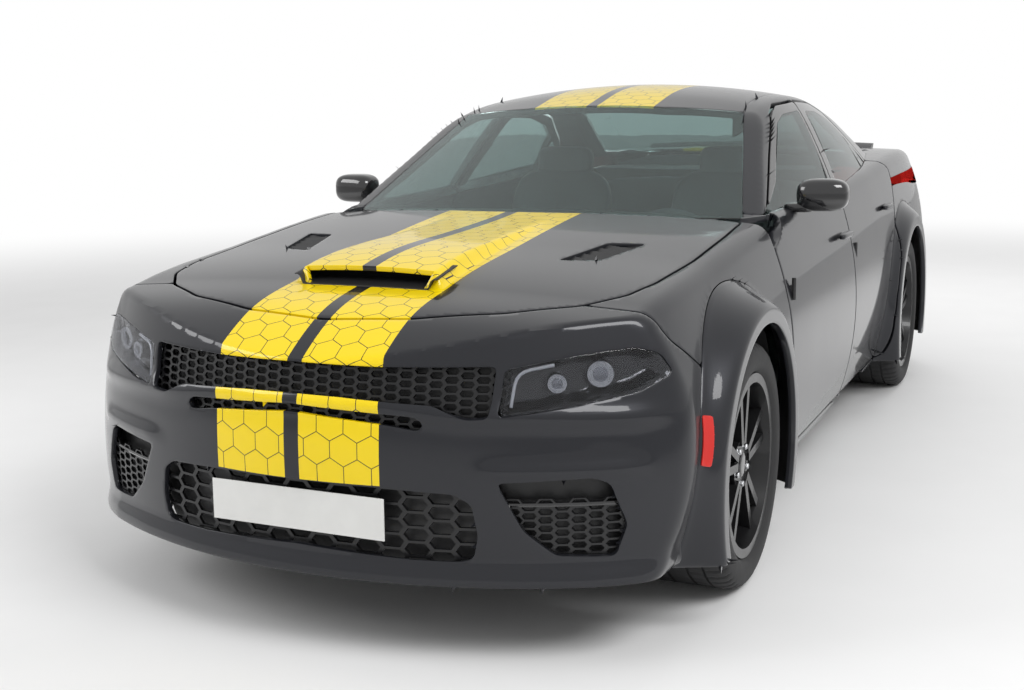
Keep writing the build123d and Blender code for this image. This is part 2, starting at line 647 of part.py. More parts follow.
# Body side: sill, pillars, cant rail and rear quarter
rail = box(-FAR, FAR, 0, DOOR_TOP_Y - SHUT_GAP, DOOR_TOP_Z - 45, 2000)
front_door_space = trimmed(side_prism(front_door_line, 0, WIDE, SHUT_GAP), rail)
rear_door_prism = side_prism(rear_door_line, 0, WIDE, SHUT_GAP)
rear_door_space = trimmed(rear_door_prism + Location((-5, 0, 0)) * rear_door_prism, rail,
                          keep=[free_edge(REAR_HINGE_X, rear_free, SHUT_GAP)])
pillar_core = body_pillar + house_pillar
roof_prism = plan_prism(mirrored(roof_line), 960)
screen_prism = plan_prism(mirrored(screen_line), 600)
light_prism = plan_prism(mirrored(light_line), 960)
with BuildPart() as body_side:
    add(body_shell)
    add(box(-FAR, DOOR_FRONT_X + SHUT_GAP - FIXED_GAP, 0, WIDE, SILL_Z - 40, 2000), mode=Mode.INTERSECT)
    add(cabin_space, mode=Mode.SUBTRACT)
    add(trimmed(body_inner, keep=[box(-FAR, -1289, -WIDE, WIDE, 0, 2000)]), mode=Mode.SUBTRACT)
    add(front_door_space, mode=Mode.SUBTRACT)
    add(rear_door_space, mode=Mode.SUBTRACT)
    add(trimmed(body_seat, body_deep, keep=[box(DOOR_FRONT_X - 20, FIREWALL_X - 10, 500, WIDE, SILL_Z, 205)]))
    add(trimmed(body_seat, body_deep,
                keep=[box(DOOR_FRONT_X + SHUT_GAP, FIREWALL_X - SHEET - SEAT_GAP, 500, WIDE, SILL_Z, HOOD_HINGE_Z - 70)]))
    add(trimmed(body_shell, body_deeper, box(-500, 200, 0, 700, 850, PILLAR_JOIN_Z),
                trimmed(house_deeper, keep=[box(-500, 200, 0, WIDE, PILLAR_JOIN_Z, 2000)]),
                trimmed(front_door_space + rear_door_space, pillar_core), keep=[side_prism(pillar_b)]))
    for x in JACK_PAD_X:
        add(box(x - 35, x + 35, 800, 860, JACK_PAD_Z, SILL_Z + 8))
    add(arches, mode=Mode.SUBTRACT)
    add(wheel_drum(REAR_X, LINER_R + LINER_T + SEAT_GAP, LINER_IN, BODY_HALF - 35), mode=Mode.SUBTRACT)
    for opening in (roof_prism, screen_prism, light_prism, lid_opening):
        add(opening, mode=Mode.SUBTRACT)
    add(side_prism(rear_bumper_line, 0, WIDE, FIXED_GAP), mode=Mode.SUBTRACT)
    add(box(-FAR, -2200, 0, 648, 0, LID_LOW_Z + 10), mode=Mode.SUBTRACT)
    add(front_prism(tail_line, -2700, -2250), mode=Mode.SUBTRACT)
save_pair(body_side, "body_side")
print("body side")

# Door hinges: an arm from the pillar and a pin, two to a door; goose-neck pins of the bonnet and the lid
with BuildPart() as hinges:
    for z in HINGE_HEIGHTS:
        for x in (FRONT_HINGE_X, REAR_HINGE_X):
            with Locations((x, HINGE_Y, z)):
                Cylinder(HINGE_PIN_R, 2 * HINGE_PIN_HALF)
        low, high = z - HINGE_ARM, z + HINGE_ARM
        add(box(FRONT_HINGE_X - 6, FRONT_HINGE_X + 6, HINGE_Y - 66, HINGE_Y, low, high))
        add(box(FRONT_HINGE_X - 6, DOOR_FRONT_X + SHUT_GAP - SEAT_GAP, HINGE_Y - 66, HINGE_Y - 54, low, high))
        add(trimmed(box(REAR_HINGE_X - 6, REAR_HINGE_X + 6, HINGE_Y - 180, HINGE_Y, low, high), body_pillar))
    pin_r = HINGE_PIN_R - 2
    add(rod((HOOD_HINGE_X, HOOD_ARM_Y - 8, HOOD_HINGE_Z), (HOOD_HINGE_X, SCREEN_BASE_Y - SEAT_GAP, HOOD_HINGE_Z), pin_r))
    mirror(about=Plane.XZ)
save(hinges, "hinges")

# Glazing and roof
with BuildPart() as roof_panel:
    add(house_outer)
    add(plan_prism(mirrored(roof_line), 1150, grow=-SEAT_GAP), mode=Mode.INTERSECT)
    add(house_inner, mode=Mode.SUBTRACT)
save(roof_panel, "roof_panel")

with BuildPart() as windscreen:
    add(house_outer)
    add(plan_prism(mirrored(screen_line), 940, grow=-SEAT_GAP), mode=Mode.INTERSECT)
    add(house_glass, mode=Mode.SUBTRACT)
    add(lower_body(COWL_DROP - SEAT_GAP), mode=Mode.SUBTRACT)
save(windscreen, "windscreen")

with BuildPart() as rear_window:
    add(house_outer)
    add(plan_prism(mirrored(light_line), 940, grow=-SEAT_GAP), mode=Mode.INTERSECT)
    add(house_glass, mode=Mode.SUBTRACT)
    add(lower_body(SKIN - SEAT_GAP), mode=Mode.SUBTRACT)
    add(lid_opening, mode=Mode.SUBTRACT)
save(rear_window, "rear_window")

with BuildPart() as cowl_panel:
    add(lower_body(COWL_DROP))
    add(plan_prism(mirrored([(1200, 0), (1200, 660), (860, 660), (860, 0)]), 900), mode=Mode.INTERSECT)
    add(lower_body(COWL_DROP + 8), mode=Mode.SUBTRACT)
    add(hood_opening, mode=Mode.SUBTRACT)
save(cowl_panel, "cowl_panel")

shelf_line = [(-1275, 1052), (-1650, 1052), (-1705, 1100), (-1800, 1108), (-1800, 1098), (-1708, 1090), (-1652, 1044),
              (-1275, 1044)]
with BuildPart() as rear_shelf:
    add(side_prism(shelf_line, 20 - LID_ARM_Y, LID_ARM_Y - 20))
    add(plan_prism(mirrored(lid_line), 900, grow=SHUT_GAP), mode=Mode.SUBTRACT)
    for side in (-1, 1):
        ear, end = side * (LID_ARM_Y - 26), side * (LID_ARM_Y + HINGE_ARM + 8)
        add(box(LID_HINGE_X - 12, LID_HINGE_X + 12, ear - 6, ear + 6, LID_HINGE_Z - 12, 1048))
        add(rod((LID_HINGE_X, ear, LID_HINGE_Z), (LID_HINGE_X, end, LID_HINGE_Z), pin_r))
    add(box(-1290, -1275, 2 - LINER_IN, LINER_IN - 2, BOOT_Z + SHEET + SEAT_GAP, 1052))
save(rear_shelf, "rear_shelf")
print("glazing")

# Wheels: a rim with paired spokes, its hub and brake disc in one
rim_profile = [
    (RIM_R + RIM_LIP, RIM_HALF), (RIM_R + RIM_LIP, RIM_HALF - 8), (RIM_R, RIM_HALF - 14), (RIM_R, 85), (RIM_R - 14, 65),
    (RIM_R - 14, -65), (RIM_R, -85), (RIM_R, 14 - RIM_HALF), (RIM_R + RIM_LIP, 8 - RIM_HALF),
    (RIM_R + RIM_LIP, -RIM_HALF), (RIM_R - RIM_WALL, -RIM_HALF), (RIM_R - 14 - RIM_WALL, -75),
    (RIM_R - 14 - RIM_WALL, 75), (RIM_R - RIM_WALL, RIM_HALF),
]
bead = RIM_R + SEAT_GAP
tyre_profile = [
    (bead, -124), (bead, 124), (270, 130), (275, 146), (300, TYRE_W / 2), (332, 149), (351, 137), (TYRE_R, 112),
    (TYRE_R, -112), (351, -137), (332, -149), (300, -TYRE_W / 2), (275, -146), (270, -130),
]


def turned(profile, x):
    """A ring about a wheel's axle, from a profile of (radius, distance outwards from the wheel's middle)."""
    with BuildPart() as ring:
        with BuildSketch(Plane.XY.offset(HUB_Z)):
            with BuildLine():
                Polyline(*[(x + r, HALF_TRACK + w) for r, w in profile], close=True)
            make_face()
        revolve(axis=Axis((x, 0, HUB_Z), (0, 1, 0)))
    return ring.part


def hub_drum(x, radius, w_low, w_high):
    """A cylinder about a wheel's axle, between two distances outwards from the wheel's middle."""
    return wheel_drum(x, radius, HALF_TRACK + w_low, HALF_TRACK + w_high, HUB_Z)


for name, x in (("front", FRONT_X), ("rear", REAR_X)):
    with BuildPart() as wheel:
        add(turned(rim_profile, x))
        add(hub_drum(x, HUB_R, 60, SPOKE_FACE - 8))
        add(hub_drum(x, HAT_R, -DISC_W / 2, 62))
        add(hub_drum(x, DISC_R, -DISC_W / 2, DISC_W / 2))
        with BuildSketch(Plane.XZ.offset(-HALF_TRACK - SPOKE_FACE + SPOKE_DEPTH)):
            for turn in range(SPOKES):
                for lean in (-1, 1):
                    angle = radians(90 + turn * 360 / SPOKES + lean * 11)
                    reach = (HUB_R + RIM_R) / 2 - 15
                    with Locations((x + reach * cos(angle), HUB_Z + reach * sin(angle))):
                        Rectangle(RIM_R - HUB_R, SPOKE_W, rotation=degrees(angle))
        extrude(amount=-SPOKE_DEPTH)
        add(hub_drum(x, AXLE_R + PIN_GAP, -DISC_W, AXLE_END + 5), mode=Mode.SUBTRACT)
    save_pair(wheel, f"wheel_{name}")
    with BuildPart() as tyre:
        add(turned(tyre_profile, x))
    save_pair(tyre, f"tyre_{name}")
print("wheels")


def upright(x):
    """The upright that carries a left wheel: a post on the kingpin axis, a stub axle and a brake caliper."""
    king_y = HALF_TRACK - KINGPIN_IN
    low, high = HUB_Z - UPRIGHT_LOW, HUB_Z + UPRIGHT_HIGH
    with BuildPart() as post:
        add(box(x - UPRIGHT_W / 2, x + UPRIGHT_W / 2, king_y - 30, king_y + 30, low, high))
        add(hub_drum(x, 2 * AXLE_R, 25 - KINGPIN_IN, -DISC_W / 2 - 9))
        add(hub_drum(x, AXLE_R, -DISC_W, AXLE_END))
        grip = trimmed(box(x - DISC_R - 30, x - DISC_R * 0.6, HALF_TRACK - 64, HALF_TRACK + 50, HUB_Z - 65, HUB_Z + 65),
                       hub_drum(x, DISC_R + 6, -DISC_W / 2 - 6, DISC_W / 2 + 6), keep=[hub_drum(x, DISC_R + 21, -80, 60)])
        add(grip)
        add(box(x - DISC_R * 0.7, x - 20, HALF_TRACK - 68, HALF_TRACK - 50, HUB_Z - 40, HUB_Z + 40))
        for z in (low, high):
            with Locations((x, king_y, z)):
                Cylinder(KINGPIN_R + PIN_GAP, 50, mode=Mode.SUBTRACT)
    return post


def arms(x, damper_z):
    """The lower and upper arms of a left wheel, their kingpins and the damper, on a frame rail."""
    king_y = HALF_TRACK - KINGPIN_IN
    low, high = HUB_Z - UPRIGHT_LOW - SEAT_GAP, HUB_Z + UPRIGHT_HIGH + SEAT_GAP
    plan = [(x - 120, SUBFRAME_Y - 5), (x - 40, king_y - 60), (x - 30, king_y + 25), (x + 30, king_y + 25),
            (x + 40, king_y - 60), (x + 120, SUBFRAME_Y - 5)]
    narrow = [(x - 50, SUBFRAME_Y - 5), (x - 25, king_y + 20), (x + 25, king_y + 20), (x + 50, SUBFRAME_Y - 5)]
    with BuildPart() as pair:
        add(plan_prism(plan, low - ARM_T, low))
        add(plan_prism(narrow, high, high + ARM_T))
        add(rod((x, king_y, low - 5), (x, king_y, low + 24), KINGPIN_R))
        add(rod((x, king_y, high + 5), (x, king_y, high - 24), KINGPIN_R))
        add(box(x - 250, x + 250, SUBFRAME_Y - RAIL_W, SUBFRAME_Y, low - ARM_T, SUBFRAME_Z))
        add(box(x - 50, x + 50, SUBFRAME_Y - RAIL_W, SUBFRAME_Y, SUBFRAME_Z - 5, high + ARM_T))
        add(rod((x, SUBFRAME_Y + 140, low - 5), (x, SUBFRAME_Y + 115, damper_z), 38))
    return pair.part


front_upright = upright(FRONT_X)
save_pair(front_upright, "knuckle")
with BuildPart() as hub_carriers:
    add(upright(REAR_X).part)
    mirror(about=Plane.XZ)
save(hub_carriers, "hub_carriers")

with BuildPart() as front_subframe:
    add(arms(FRONT_X, FRONT_DAMPER_Z))
    mirror(about=Plane.XZ)
    for x in (-250, 190):
        add(box(FRONT_X + x, FRONT_X + x + 60, -SUBFRAME_Y, SUBFRAME_Y, 216, SUBFRAME_Z))
    add(rod((FRONT_X - 160, -430, 254), (FRONT_X - 160, 430, 254), 24))
save(front_subframe, "front_subframe")

with BuildPart() as rear_subframe:
    add(arms(REAR_X, BOOT_Z - SEAT_GAP))
    mirror(about=Plane.XZ)
    for x in (CROSS_FRONT, DIFF_FRONT - CROSS_W):
        add(box(REAR_X + x, REAR_X + x + CROSS_W, -SUBFRAME_Y, SUBFRAME_Y, 216, SUBFRAME_Z))
    add(box(REAR_X - 130, REAR_X + DIFF_FRONT, -110, 110, 250, 440))
    add(rod((REAR_X, -680, HUB_Z), (REAR_X, 680, HUB_Z), 22))
    add(box(REAR_X - FAR, REAR_X + FAR, -WIDE, WIDE, BOOT_Z - SEAT_GAP, BOOT_Z + FAR), mode=Mode.SUBTRACT)
save(rear_subframe, "rear_subframe")
print("running gear")

with BuildPart() as wheel_liners:
    for x in (FRONT_X, REAR_X):
        add(trimmed(wheel_drum(x, LINER_R + LINER_T, LINER_IN, BODY_HALF - 35 - SEAT_GAP),
                    wheel_drum(x, LINER_R, 500, WIDE),
                    keep=[body_seat, box(-FAR, FAR, -WIDE, WIDE, 205, 2000)]))
    mirror(about=Plane.XZ)
save(wheel_liners, "wheel_liners")

# Underbody: firewall, floor with its tunnel, boot floor and front rails
floor_line = [(FIREWALL_X, 900), (FIREWALL_X, 430), (960, FLOOR_Z), (-640, FLOOR_Z), (-760, 330), (-1180, 345),
              (-1240, BOOT_Z), (-2400, BOOT_Z), (-2400, BOOT_Z + SHEET), (-1232, BOOT_Z + SHEET), (-1172, 345 + SHEET),
              (-765, 330 + SHEET), (-645, FLOOR_Z + SHEET), (955, FLOOR_Z + SHEET), (FIREWALL_X - SHEET, 434),
              (FIREWALL_X - SHEET, 900)]
floor_plan = [(1200, 0), (1200, 900), (-960, 900), (-960, LINER_IN - 10), (-1990, LINER_IN - 10), (-1990, 700), (-2500, 700),
              (-2500, 0)]
with BuildPart() as underbody:
    add(side_prism(floor_line, -900, 900))
    add(body_deep_seat, mode=Mode.INTERSECT)
    add(plan_prism(mirrored(floor_plan)), mode=Mode.INTERSECT)
    add(both(side_prism(pillar_b, DOOR_WALL_IN, WIDE, SEAT_GAP)), mode=Mode.SUBTRACT)
    add(box(TUNNEL_REAR, FIREWALL_X + 5, -TUNNEL_HALF, TUNNEL_HALF, 100, TUNNEL_Z), mode=Mode.SUBTRACT)
    add(trimmed(box(TUNNEL_REAR, FIREWALL_X - 2, -TUNNEL_HALF - SHEET, TUNNEL_HALF + SHEET, FLOOR_Z, TUNNEL_Z + SHEET),
                box(-FAR, FAR, -TUNNEL_HALF, TUNNEL_HALF, 100, TUNNEL_Z)))
    for y in (-435, 375):
        add(box(FIREWALL_X - SHEET, 2300, y, y + RAIL_W, 400, 500))
    add(box(2290, 2310, -435, 435, 280, 840))
    add(box(2295, 2420, -435, 435, 480, 600))
save(underbody, "underbody")

with BuildPart() as engine_block:
    add(box(1330, 1960, -250, 250, SUBFRAME_Z + SEAT_GAP, 560))
    add(front_prism([(-250, 555), (250, 555), (330, 770), (130, 800), (-130, 800), (-330, 770)], 1370, 1930))
    add(front_prism([(-80, 800), (80, 800), (110, 300), (-110, 300)], 1125, 1340))
save(engine_block, "engine_block")

with BuildPart() as exhaust:
    for side in (-1, 1):
        route = [(1000, 84, 270), (-900, 84, 270), (-1120, 84, 176), (-1800, 84, 176), (-1960, 400, 300)]
        with BuildLine():
            Polyline(*[(x, side * y, z) for x, y, z in route])
        with BuildSketch(Plane((route[0][0], side * route[0][1], route[0][2]), z_dir=(-1, 0, 0))):
            Circle(PIPE_R)
        sweep(transition=Transition.RIGHT)
        add(box(-2150, -2110, side * TAILPIPE_Y - 15, side * TAILPIPE_Y + 15, 395, BOOT_Z - SEAT_GAP))
        add(box(-2320, -1920, side * TAILPIPE_Y - 110, side * TAILPIPE_Y + 110, 225, 400))
        add(rod((-2310, side * TAILPIPE_Y, TAILPIPE_Z), (TAIL_X + 30, side * TAILPIPE_Y, TAILPIPE_Z), TAILPIPE_R))
save(exhaust, "exhaust")

with BuildPart() as drive_shaft:
    add(rod((1124.6, 0, 330), (REAR_X + DIFF_FRONT + SEAT_GAP, 0, 290), 26))
save(drive_shaft, "drive_shaft")

with BuildPart() as number_plates:
    add(box(NOSE_X - GRILLE_IN + 1, NOSE_X - GRILLE_IN + 1 + PLATE_T, -PLATE_W / 2, PLATE_W / 2, 330, 330 + PLATE_H))
    add(box(TAIL_X + PLATE_IN - SEAT_GAP - PLATE_T, TAIL_X + PLATE_IN - SEAT_GAP, -PLATE_W / 2, PLATE_W / 2,
            PLATE_Z + 20, PLATE_Z + 20 + PLATE_H))
save(number_plates, "number_plates")

# Cabin
dash_line = [(600, 700), (590, 860), (680, 935), (895, 965), (895, 700), (720, 640)]
with BuildPart() as dashboard:
    add(side_prism(dash_line, -900, 900))
    add(body_deep_seat, mode=Mode.INTERSECT)
    add(side_prism([(890, 700), (890, 960), (FIREWALL_X - SHEET - SEAT_GAP, 900), (FIREWALL_X - SHEET - SEAT_GAP, 600)],
                   -620, 620))
    add(box(-350, 610, -120, 120, TUNNEL_Z + SHEET + SEAT_GAP, 560))
    add(box(560, 620, -120, 120, 550, 720))
save(dashboard, "dashboard")

with BuildPart() as steering_wheel:
    with BuildSketch(Plane((440, DRIVER_Y, 830), z_dir=(-0.9, 0, 0.44))) as rim:
        Circle(185)
        Circle(158, mode=Mode.SUBTRACT)
        Circle(60)
        Rectangle(340, 36)
    extrude(amount=24, both=True)
    add(trimmed(rod((440, DRIVER_Y, 830), (640, DRIVER_Y, 732), 30), side_prism(dash_line, -900, 900, SEAT_GAP)))
save(steering_wheel, "steering_wheel")

seat_line = [(460, 330), (470, 430), (420, 490), (20, 450), (-240, 1000), (-300, 1180), (-350, 1180), (-370, 1000),
             (-150, 420), (-110, 330)]
bench_low = 345 + SHEET + SEAT_GAP
bench_line = [(-660, bench_low), (-640, 470), (-700, 520), (-1060, 480), (-1180, 930), (-1260, 990),
              (-1266, BOOT_Z + SHEET + 1), (-1224, BOOT_Z + SHEET + 1), (-1168, bench_low)]
with BuildPart() as front_seats:
    add(side_prism(seat_line, DRIVER_Y - SEAT_W / 2, DRIVER_Y + SEAT_W / 2))
    for y in (DRIVER_Y - SEAT_W / 2 + 30, DRIVER_Y + SEAT_W / 2 - 70):
        add(box(-80, 420, y, y + 40, FLOOR_Z + SHEET + SEAT_GAP, 335))
    mirror(about=Plane.XZ)
save(front_seats, "front_seats")
with BuildPart() as rear_bench:
    add(side_prism(bench_line, 15 - LINER_IN, LINER_IN - 15))
    tunnel_top = TUNNEL_Z + SHEET + SEAT_GAP
    tunnel_side = TUNNEL_HALF + SHEET + SEAT_GAP
    add(box(TUNNEL_REAR - SEAT_GAP, 0, -tunnel_side, tunnel_side, 0, tunnel_top), mode=Mode.SUBTRACT)
save(rear_bench, "rear_bench")
print("cabin")

# Door mirrors
with BuildPart() as mirror_head:
    with Locations((620, 950, 1098)):
        Box(120, 190, 116)
    fillet(mirror_head.edges(), 38)
    add(box(590, 670, 790, 880, 1000, 1062))
    add(body_outer, mode=Mode.SUBTRACT)
    add(house_outer, mode=Mode.SUBTRACT)
save_pair(mirror_head, "mirror")
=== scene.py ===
"""Looks of a wide-bodied four-door muscle car: painted shell, glass, lamps, grilles, wheels and cabin.

Metres, in the frame of the construction: +X forward, +Y to the car's left, +Z up, floor at z = 0.
Tables of outlines are in millimetres, as on a drawing, and MM turns them into metres.
"""
from math import cos, pi, radians, sin, sqrt

import bpy
import numpy as np
from mathutils import Matrix, Vector


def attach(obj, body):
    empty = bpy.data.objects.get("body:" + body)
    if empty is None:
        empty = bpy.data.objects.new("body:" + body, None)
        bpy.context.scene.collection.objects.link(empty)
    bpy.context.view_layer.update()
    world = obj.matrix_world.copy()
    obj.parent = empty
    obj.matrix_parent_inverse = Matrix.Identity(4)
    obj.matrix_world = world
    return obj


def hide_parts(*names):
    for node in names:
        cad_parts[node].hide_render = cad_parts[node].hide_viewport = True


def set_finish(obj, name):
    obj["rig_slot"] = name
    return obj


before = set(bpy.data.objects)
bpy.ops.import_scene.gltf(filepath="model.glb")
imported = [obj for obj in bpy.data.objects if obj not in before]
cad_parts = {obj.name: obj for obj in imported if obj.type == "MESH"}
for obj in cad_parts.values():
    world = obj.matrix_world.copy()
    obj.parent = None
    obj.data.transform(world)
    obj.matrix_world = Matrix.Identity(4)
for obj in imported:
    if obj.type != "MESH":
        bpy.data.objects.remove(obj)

bl_info = {
    "name": "Wide Muscle Car",
    "version": (1, 0, 0),
    "blender": (4, 5, 0),
    "location": "View3D > Sidebar > Muscle Car",
    "description": "Dresses a wide-bodied four-door muscle car around its fixed frame",
    "category": "Object",
}

MM = 0.001
FRONT_X, REAR_X = 1.595, -1.463
HUB_Z, ARCH_Z = 0.361, 0.373
HALF_TRACK = 0.815
ARCH_R, FLARE_R, FLARE_HALF = 0.408, 0.520, 0.997
SHOULDER_R = 0.070
SHUT_GAP = 0.0085
SHEET_EDGE = 0.0016
CUT_NEAR = 0.22
SKIN, DOOR_SKIN, SIDE_SKIN, ROOF_SKIN, PILLAR_SKIN, FRAME_WALL = 0.014, 0.050, 0.020, 0.022, 0.026, 0.030
LINING = 0.003

# Flares: wall, lower end, how far they turn below level, edge radius, gap to the panel round them
FLARE_WALL, FLARE_LOW, FLARE_SWEEP, FLARE_EDGE, FLARE_GAP = 0.022, 0.196, 0.52, 0.004, 0.004

# Where the body sides end at the wings, with half the gap each way
WING_REAR, SIDE_FRONT = 1.0085, 1.0077

# Where the rays that find the surfaces start: (x, z) in the two ends, and (y, z) in body and glasshouse
NOSE_CORE, TAIL_CORE = (1.55, 0.5), (-1.55, 0.6)
FLANK_CORE, HOUSE_CORE = (0.45, 0.62), (0, 0.85)

# The shoulder arc's middle and end from its start, (y, z) as shares of SHOULDER_R
BEND_MIDDLE, BEND_END = (-0.297, 0.424), (-0.766, 0.643)

# Cross-sections of the lower body, millimetres.
# Columns: x, z_low, y_low, z_mid, y_mid, z_shoulder, y_shoulder, z_top
SECTIONS = np.array([
    (-2565, 215, 850, 660, 900, 1050, 800, 1115),
    (-2100, 205, 870, 660, 940, 1070, 850, 1135),
    (-1463, 190, 880, 650, 950, 1060, 876, 1130),
    (-900, 180, 880, 640, 947, 1035, 880, 1100),
    (0, 180, 880, 620, 947, 1000, 872, 1070),
    (1100, 180, 880, 600, 945, 955, 862, 1040),
    (1595, 190, 875, 580, 945, 905, 860, 990),
    (2100, 208, 870, 560, 940, 850, 850, 925),
    (2380, 226, 860, 550, 935, 790, 830, 858),
    (2565, 232, 850, 540, 925, 690, 800, 745),
]) * MM

# Plan outlines of the two ends, millimetres.
# Columns: z, x_nose, x_corner, y_corner, x_side, x_side_rear, y_rear, x_rear, x_tail
ENDS = np.array([
    (60, 2500, 2330, 700, 1900, -1950, 700, -2350, -2480),
    (420, 2550, 2330, 760, 1950, -1950, 760, -2380, -2545),
    (650, 2545, 2300, 760, 1900, -1950, 760, -2390, -2550),
    (1180, 2330, 2100, 740, 1700, -1900, 740, -2330, -2470),
]) * MM

# Plan outlines of the glasshouse, millimetres. Columns: z, x_screen, x_screen_edge, y_screen_edge,
# x_pillar_a, y_pillar_a, x_side, y_side, x_pillar_c, y_pillar_c, x_light_edge, y_light_edge, x_light
GLASSHOUSE = np.array([
    (940, 1169, 1005, 767, 965, 825, -100, 885, -2050, 790, -2150, 720, -2220),
    (1180, 718, 560, 659, 525, 715, -250, 775, -1460, 690, -1520, 640, -1580),
    (1400, 304, 152, 560, 120, 600, -300, 632, -900, 575, -940, 545, -990),
    (1490, 130, -10, 500, -40, 520, -350, 550, -690, 500, -720, 480, -760),
]) * MM

# Roof line on the centre plane, millimetres. Columns: x, z
ROOF = np.array([
    (-2300, 1200), (-1700, 1290), (-1000, 1404), (-620, 1454), (-250, 1466), (60, 1440), (340, 1384),
    (1400, 1230),
]) * MM
ROOF_HALF, ROOF_DROP = 0.920, 0.138

# Outlines of panels seen from above, (x, y) in millimetres, left half, mirrored to close
HOOD = [(2374, 0), (2345, 250), (2270, 480), (2160, 640), (2040, 725), (1900, 757), (1595, 775), (1250, 775),
        (1010, 765), (1030, 600), (1075, 350), (1110, 140), (1120, 0)]
LID = [(-1768, 0), (-1745, 300), (-1680, 540), (-1655, 655), (-2200, 655), (-2700, 640), (-2700, 0)]
SCREEN = [(1330, 0), (1300, 500), (1150, 742), (894, 742), (241, 575), (310, 300), (332, 0)]
REAR_LIGHT = [(-1000, 0), (-985, 300), (-945, 530), (-1620, 640), (-1900, 690), (-2000, 0)]
ROOF_EDGE = [(332, 0), (310, 300), (241, 575), (100, 555), (-400, 560), (-700, 548), (-945, 530), (-985, 300),
             (-1000, 0)]

# Outlines seen from the side, (x, z) in millimetres
FRONT_DOOR = [(1000, 222), (1000, 925), (905, 950), (525, 1140), (120, 1342), (-10, 1374), (-300, 1386),
              (-130, 1000), (-130, 222)]
REAR_DOOR = [(-138, 222), (-138, 1000), (-308, 1386), (-600, 1376), (-820, 1336), (-1080, 1215),
             (-1300, 1062), (-1285, 1000), (-1180, 820), (-1045, 600), (-1003, 500), (-984, 400), (-980, 222)]
FRONT_GLASS = [(800, 1010), (520, 1108), (128, 1308), (-8, 1340), (-255, 1350), (-98, 1030)]
REAR_GLASS = [(-228, 1040), (-378, 1346), (-598, 1340), (-815, 1300), (-962, 1236), (-1010, 1066)]
QUARTER_GLASS = [(-1038, 1068), (-992, 1222), (-1070, 1184), (-1215, 1082)]
BUMPER = [(2120, 812), (1905, 668), (1800, 500), (1800, 60), (2700, 60), (2700, 1100), (2250, 1100)]
REAR_BUMPER = [(-1880, 560), (-2000, 700), (-2130, 850), (-2450, 859), (-2700, 859), (-2700, 60), (-1700, 60),
               (-1700, 560)]

# Outlines seen from the front, (y, z) in millimetres, left half
LAMP = [(537, 765), (655, 788), (738, 801), (813, 808), (862, 790), (892, 738), (830, 699), (740, 681),
        (622, 662), (532, 650)]
TAIL_LAMP = [(655, 1012), (655, 925), (800, 925), (900, 940), (900, 1020)]
LID_LAMP = [(0, 1012), (638, 1012), (638, 925), (0, 925)]
GRILLE = [(0, 771), (250, 769), (518, 773), (512, 648), (457, 645), (378, 680), (138, 693), (0, 695)]
SLOT = [(0, 668), (335, 650), (358, 632), (344, 614), (268, 626), (0, 646)]
INTAKE = [(0, 468), (240, 465), (430, 455), (470, 430), (484, 350), (472, 288), (440, 279), (319, 279),
          (0, 292)]
DUCT = [(530, 485), (745, 494), (780, 478), (817, 371), (792, 290), (662, 297), (591, 361)]
PLATE_BAY = [(0, 710), (280, 710), (280, 560), (0, 560)]
TAILPIPE = (0.480, 0.284, 0.050)

# Nets in the openings: cells, shape, sheet, and the depth of the dark backing sheet behind them, which is
# painted shade
SMALL_CELL, LARGE_CELL, NET_FLAT = (0.046, 0.022), (0.080, 0.040), 0.62
NET_DEPTH, NET_WALL, SHADE_BACKING_DEPTH = 0.020, 0.010, 0.062
# Corners of neighbouring cells are merged on a grid of this many points to the metre
NET_GRID = 1e5

# Headlamps: cover and housing, the housing's slope and depth, and how far the lamps turn outwards
LAMP_WALL, LAMP_INSET, LAMP_SLOPE, LAMP_SUNK, LAMP_TURN = 0.003, 0.005, 1.6, 0.038, 0.42
LIGHT_STRIP = [(552, 672), (560, 756), (640, 772), (640, 771), (561, 755), (553, 671)]

# Left half of the tyre's section, millimetres. Columns: radius, out from the middle
TYRE_WALL = [(254.5, 122), (262, 128), (270, 132), (280, 147), (292, 151), (304, 152.4), (318, 151.4),
             (332, 148.6), (342, 144), (351, 136.5), (356.5, 127), (359.5, 116)]
# Tread from the shoulder inwards, millimetres. Columns: out from the middle, 1 in a groove
TREAD = [(112, 0), (96, 0), (84, 0), (83.4, 1), (75.6, 1), (75, 0), (56, 0), (36, 0), (35.4, 1), (26.6, 1),
         (26, 0), (10, 0)]
TREAD_R, GROOVE_DEPTH, TREAD_STEPS = 361, 7.0, 300

# Turned pieces of a wheel, metres. Columns: out from the middle of the tyre, radius
DISC = [(0.0165, 0.110), (0.0172, 0.112), (0.0172, 0.1985), (0.0160, 0.2008), (-0.0160, 0.2008),
        (-0.0172, 0.1985), (-0.0172, 0.112), (-0.0165, 0.110)]
CAP = [(0.104, 0.036), (0.116, 0.036), (0.1185, 0.033), (0.1195, 0.026), (0.1200, 0.010), (0.1200, 0.001)]
NUT = [(0.100, 0.0095), (0.1190, 0.0095), (0.1205, 0.0082)]
NUTS, NUT_CIRCLE = 5, 0.057

# Mirror, wipers, side marker seen from the side, and the boot lid's lip in section
MIRROR, MIRROR_SIZE = (0.548, 0.938, 1.076), (0.118, 0.176, 0.114)
WIPER_X, WIPER_BOW, WIPER_LEAN = 1.085, 0.16, 0.045
MARKER = [(2034, 606), (2062, 612), (2100, 486), (2074, 478)]
LIP = [(-2395, 1088), (-2500, 1128), (-2512, 1150), (-2480, 1149), (-2388, 1116)]
LIP_PULL, LIP_DROP = 0.085, 0.012

# Camera of the photograph: place, angles in plan, down and about its own axis, lens and shift
CAMERA_EYE, CAMERA_ANGLES = Vector((5.441, 1.883, 1.433)), (26.265, 9.693, -1.036)
CAMERA_LENS, CAMERA_SHIFT = 48.25, (0.0619, -0.0140)
FLOOR_HALF, FLOOR_FADE = 40.0, (4.0, 11.0)

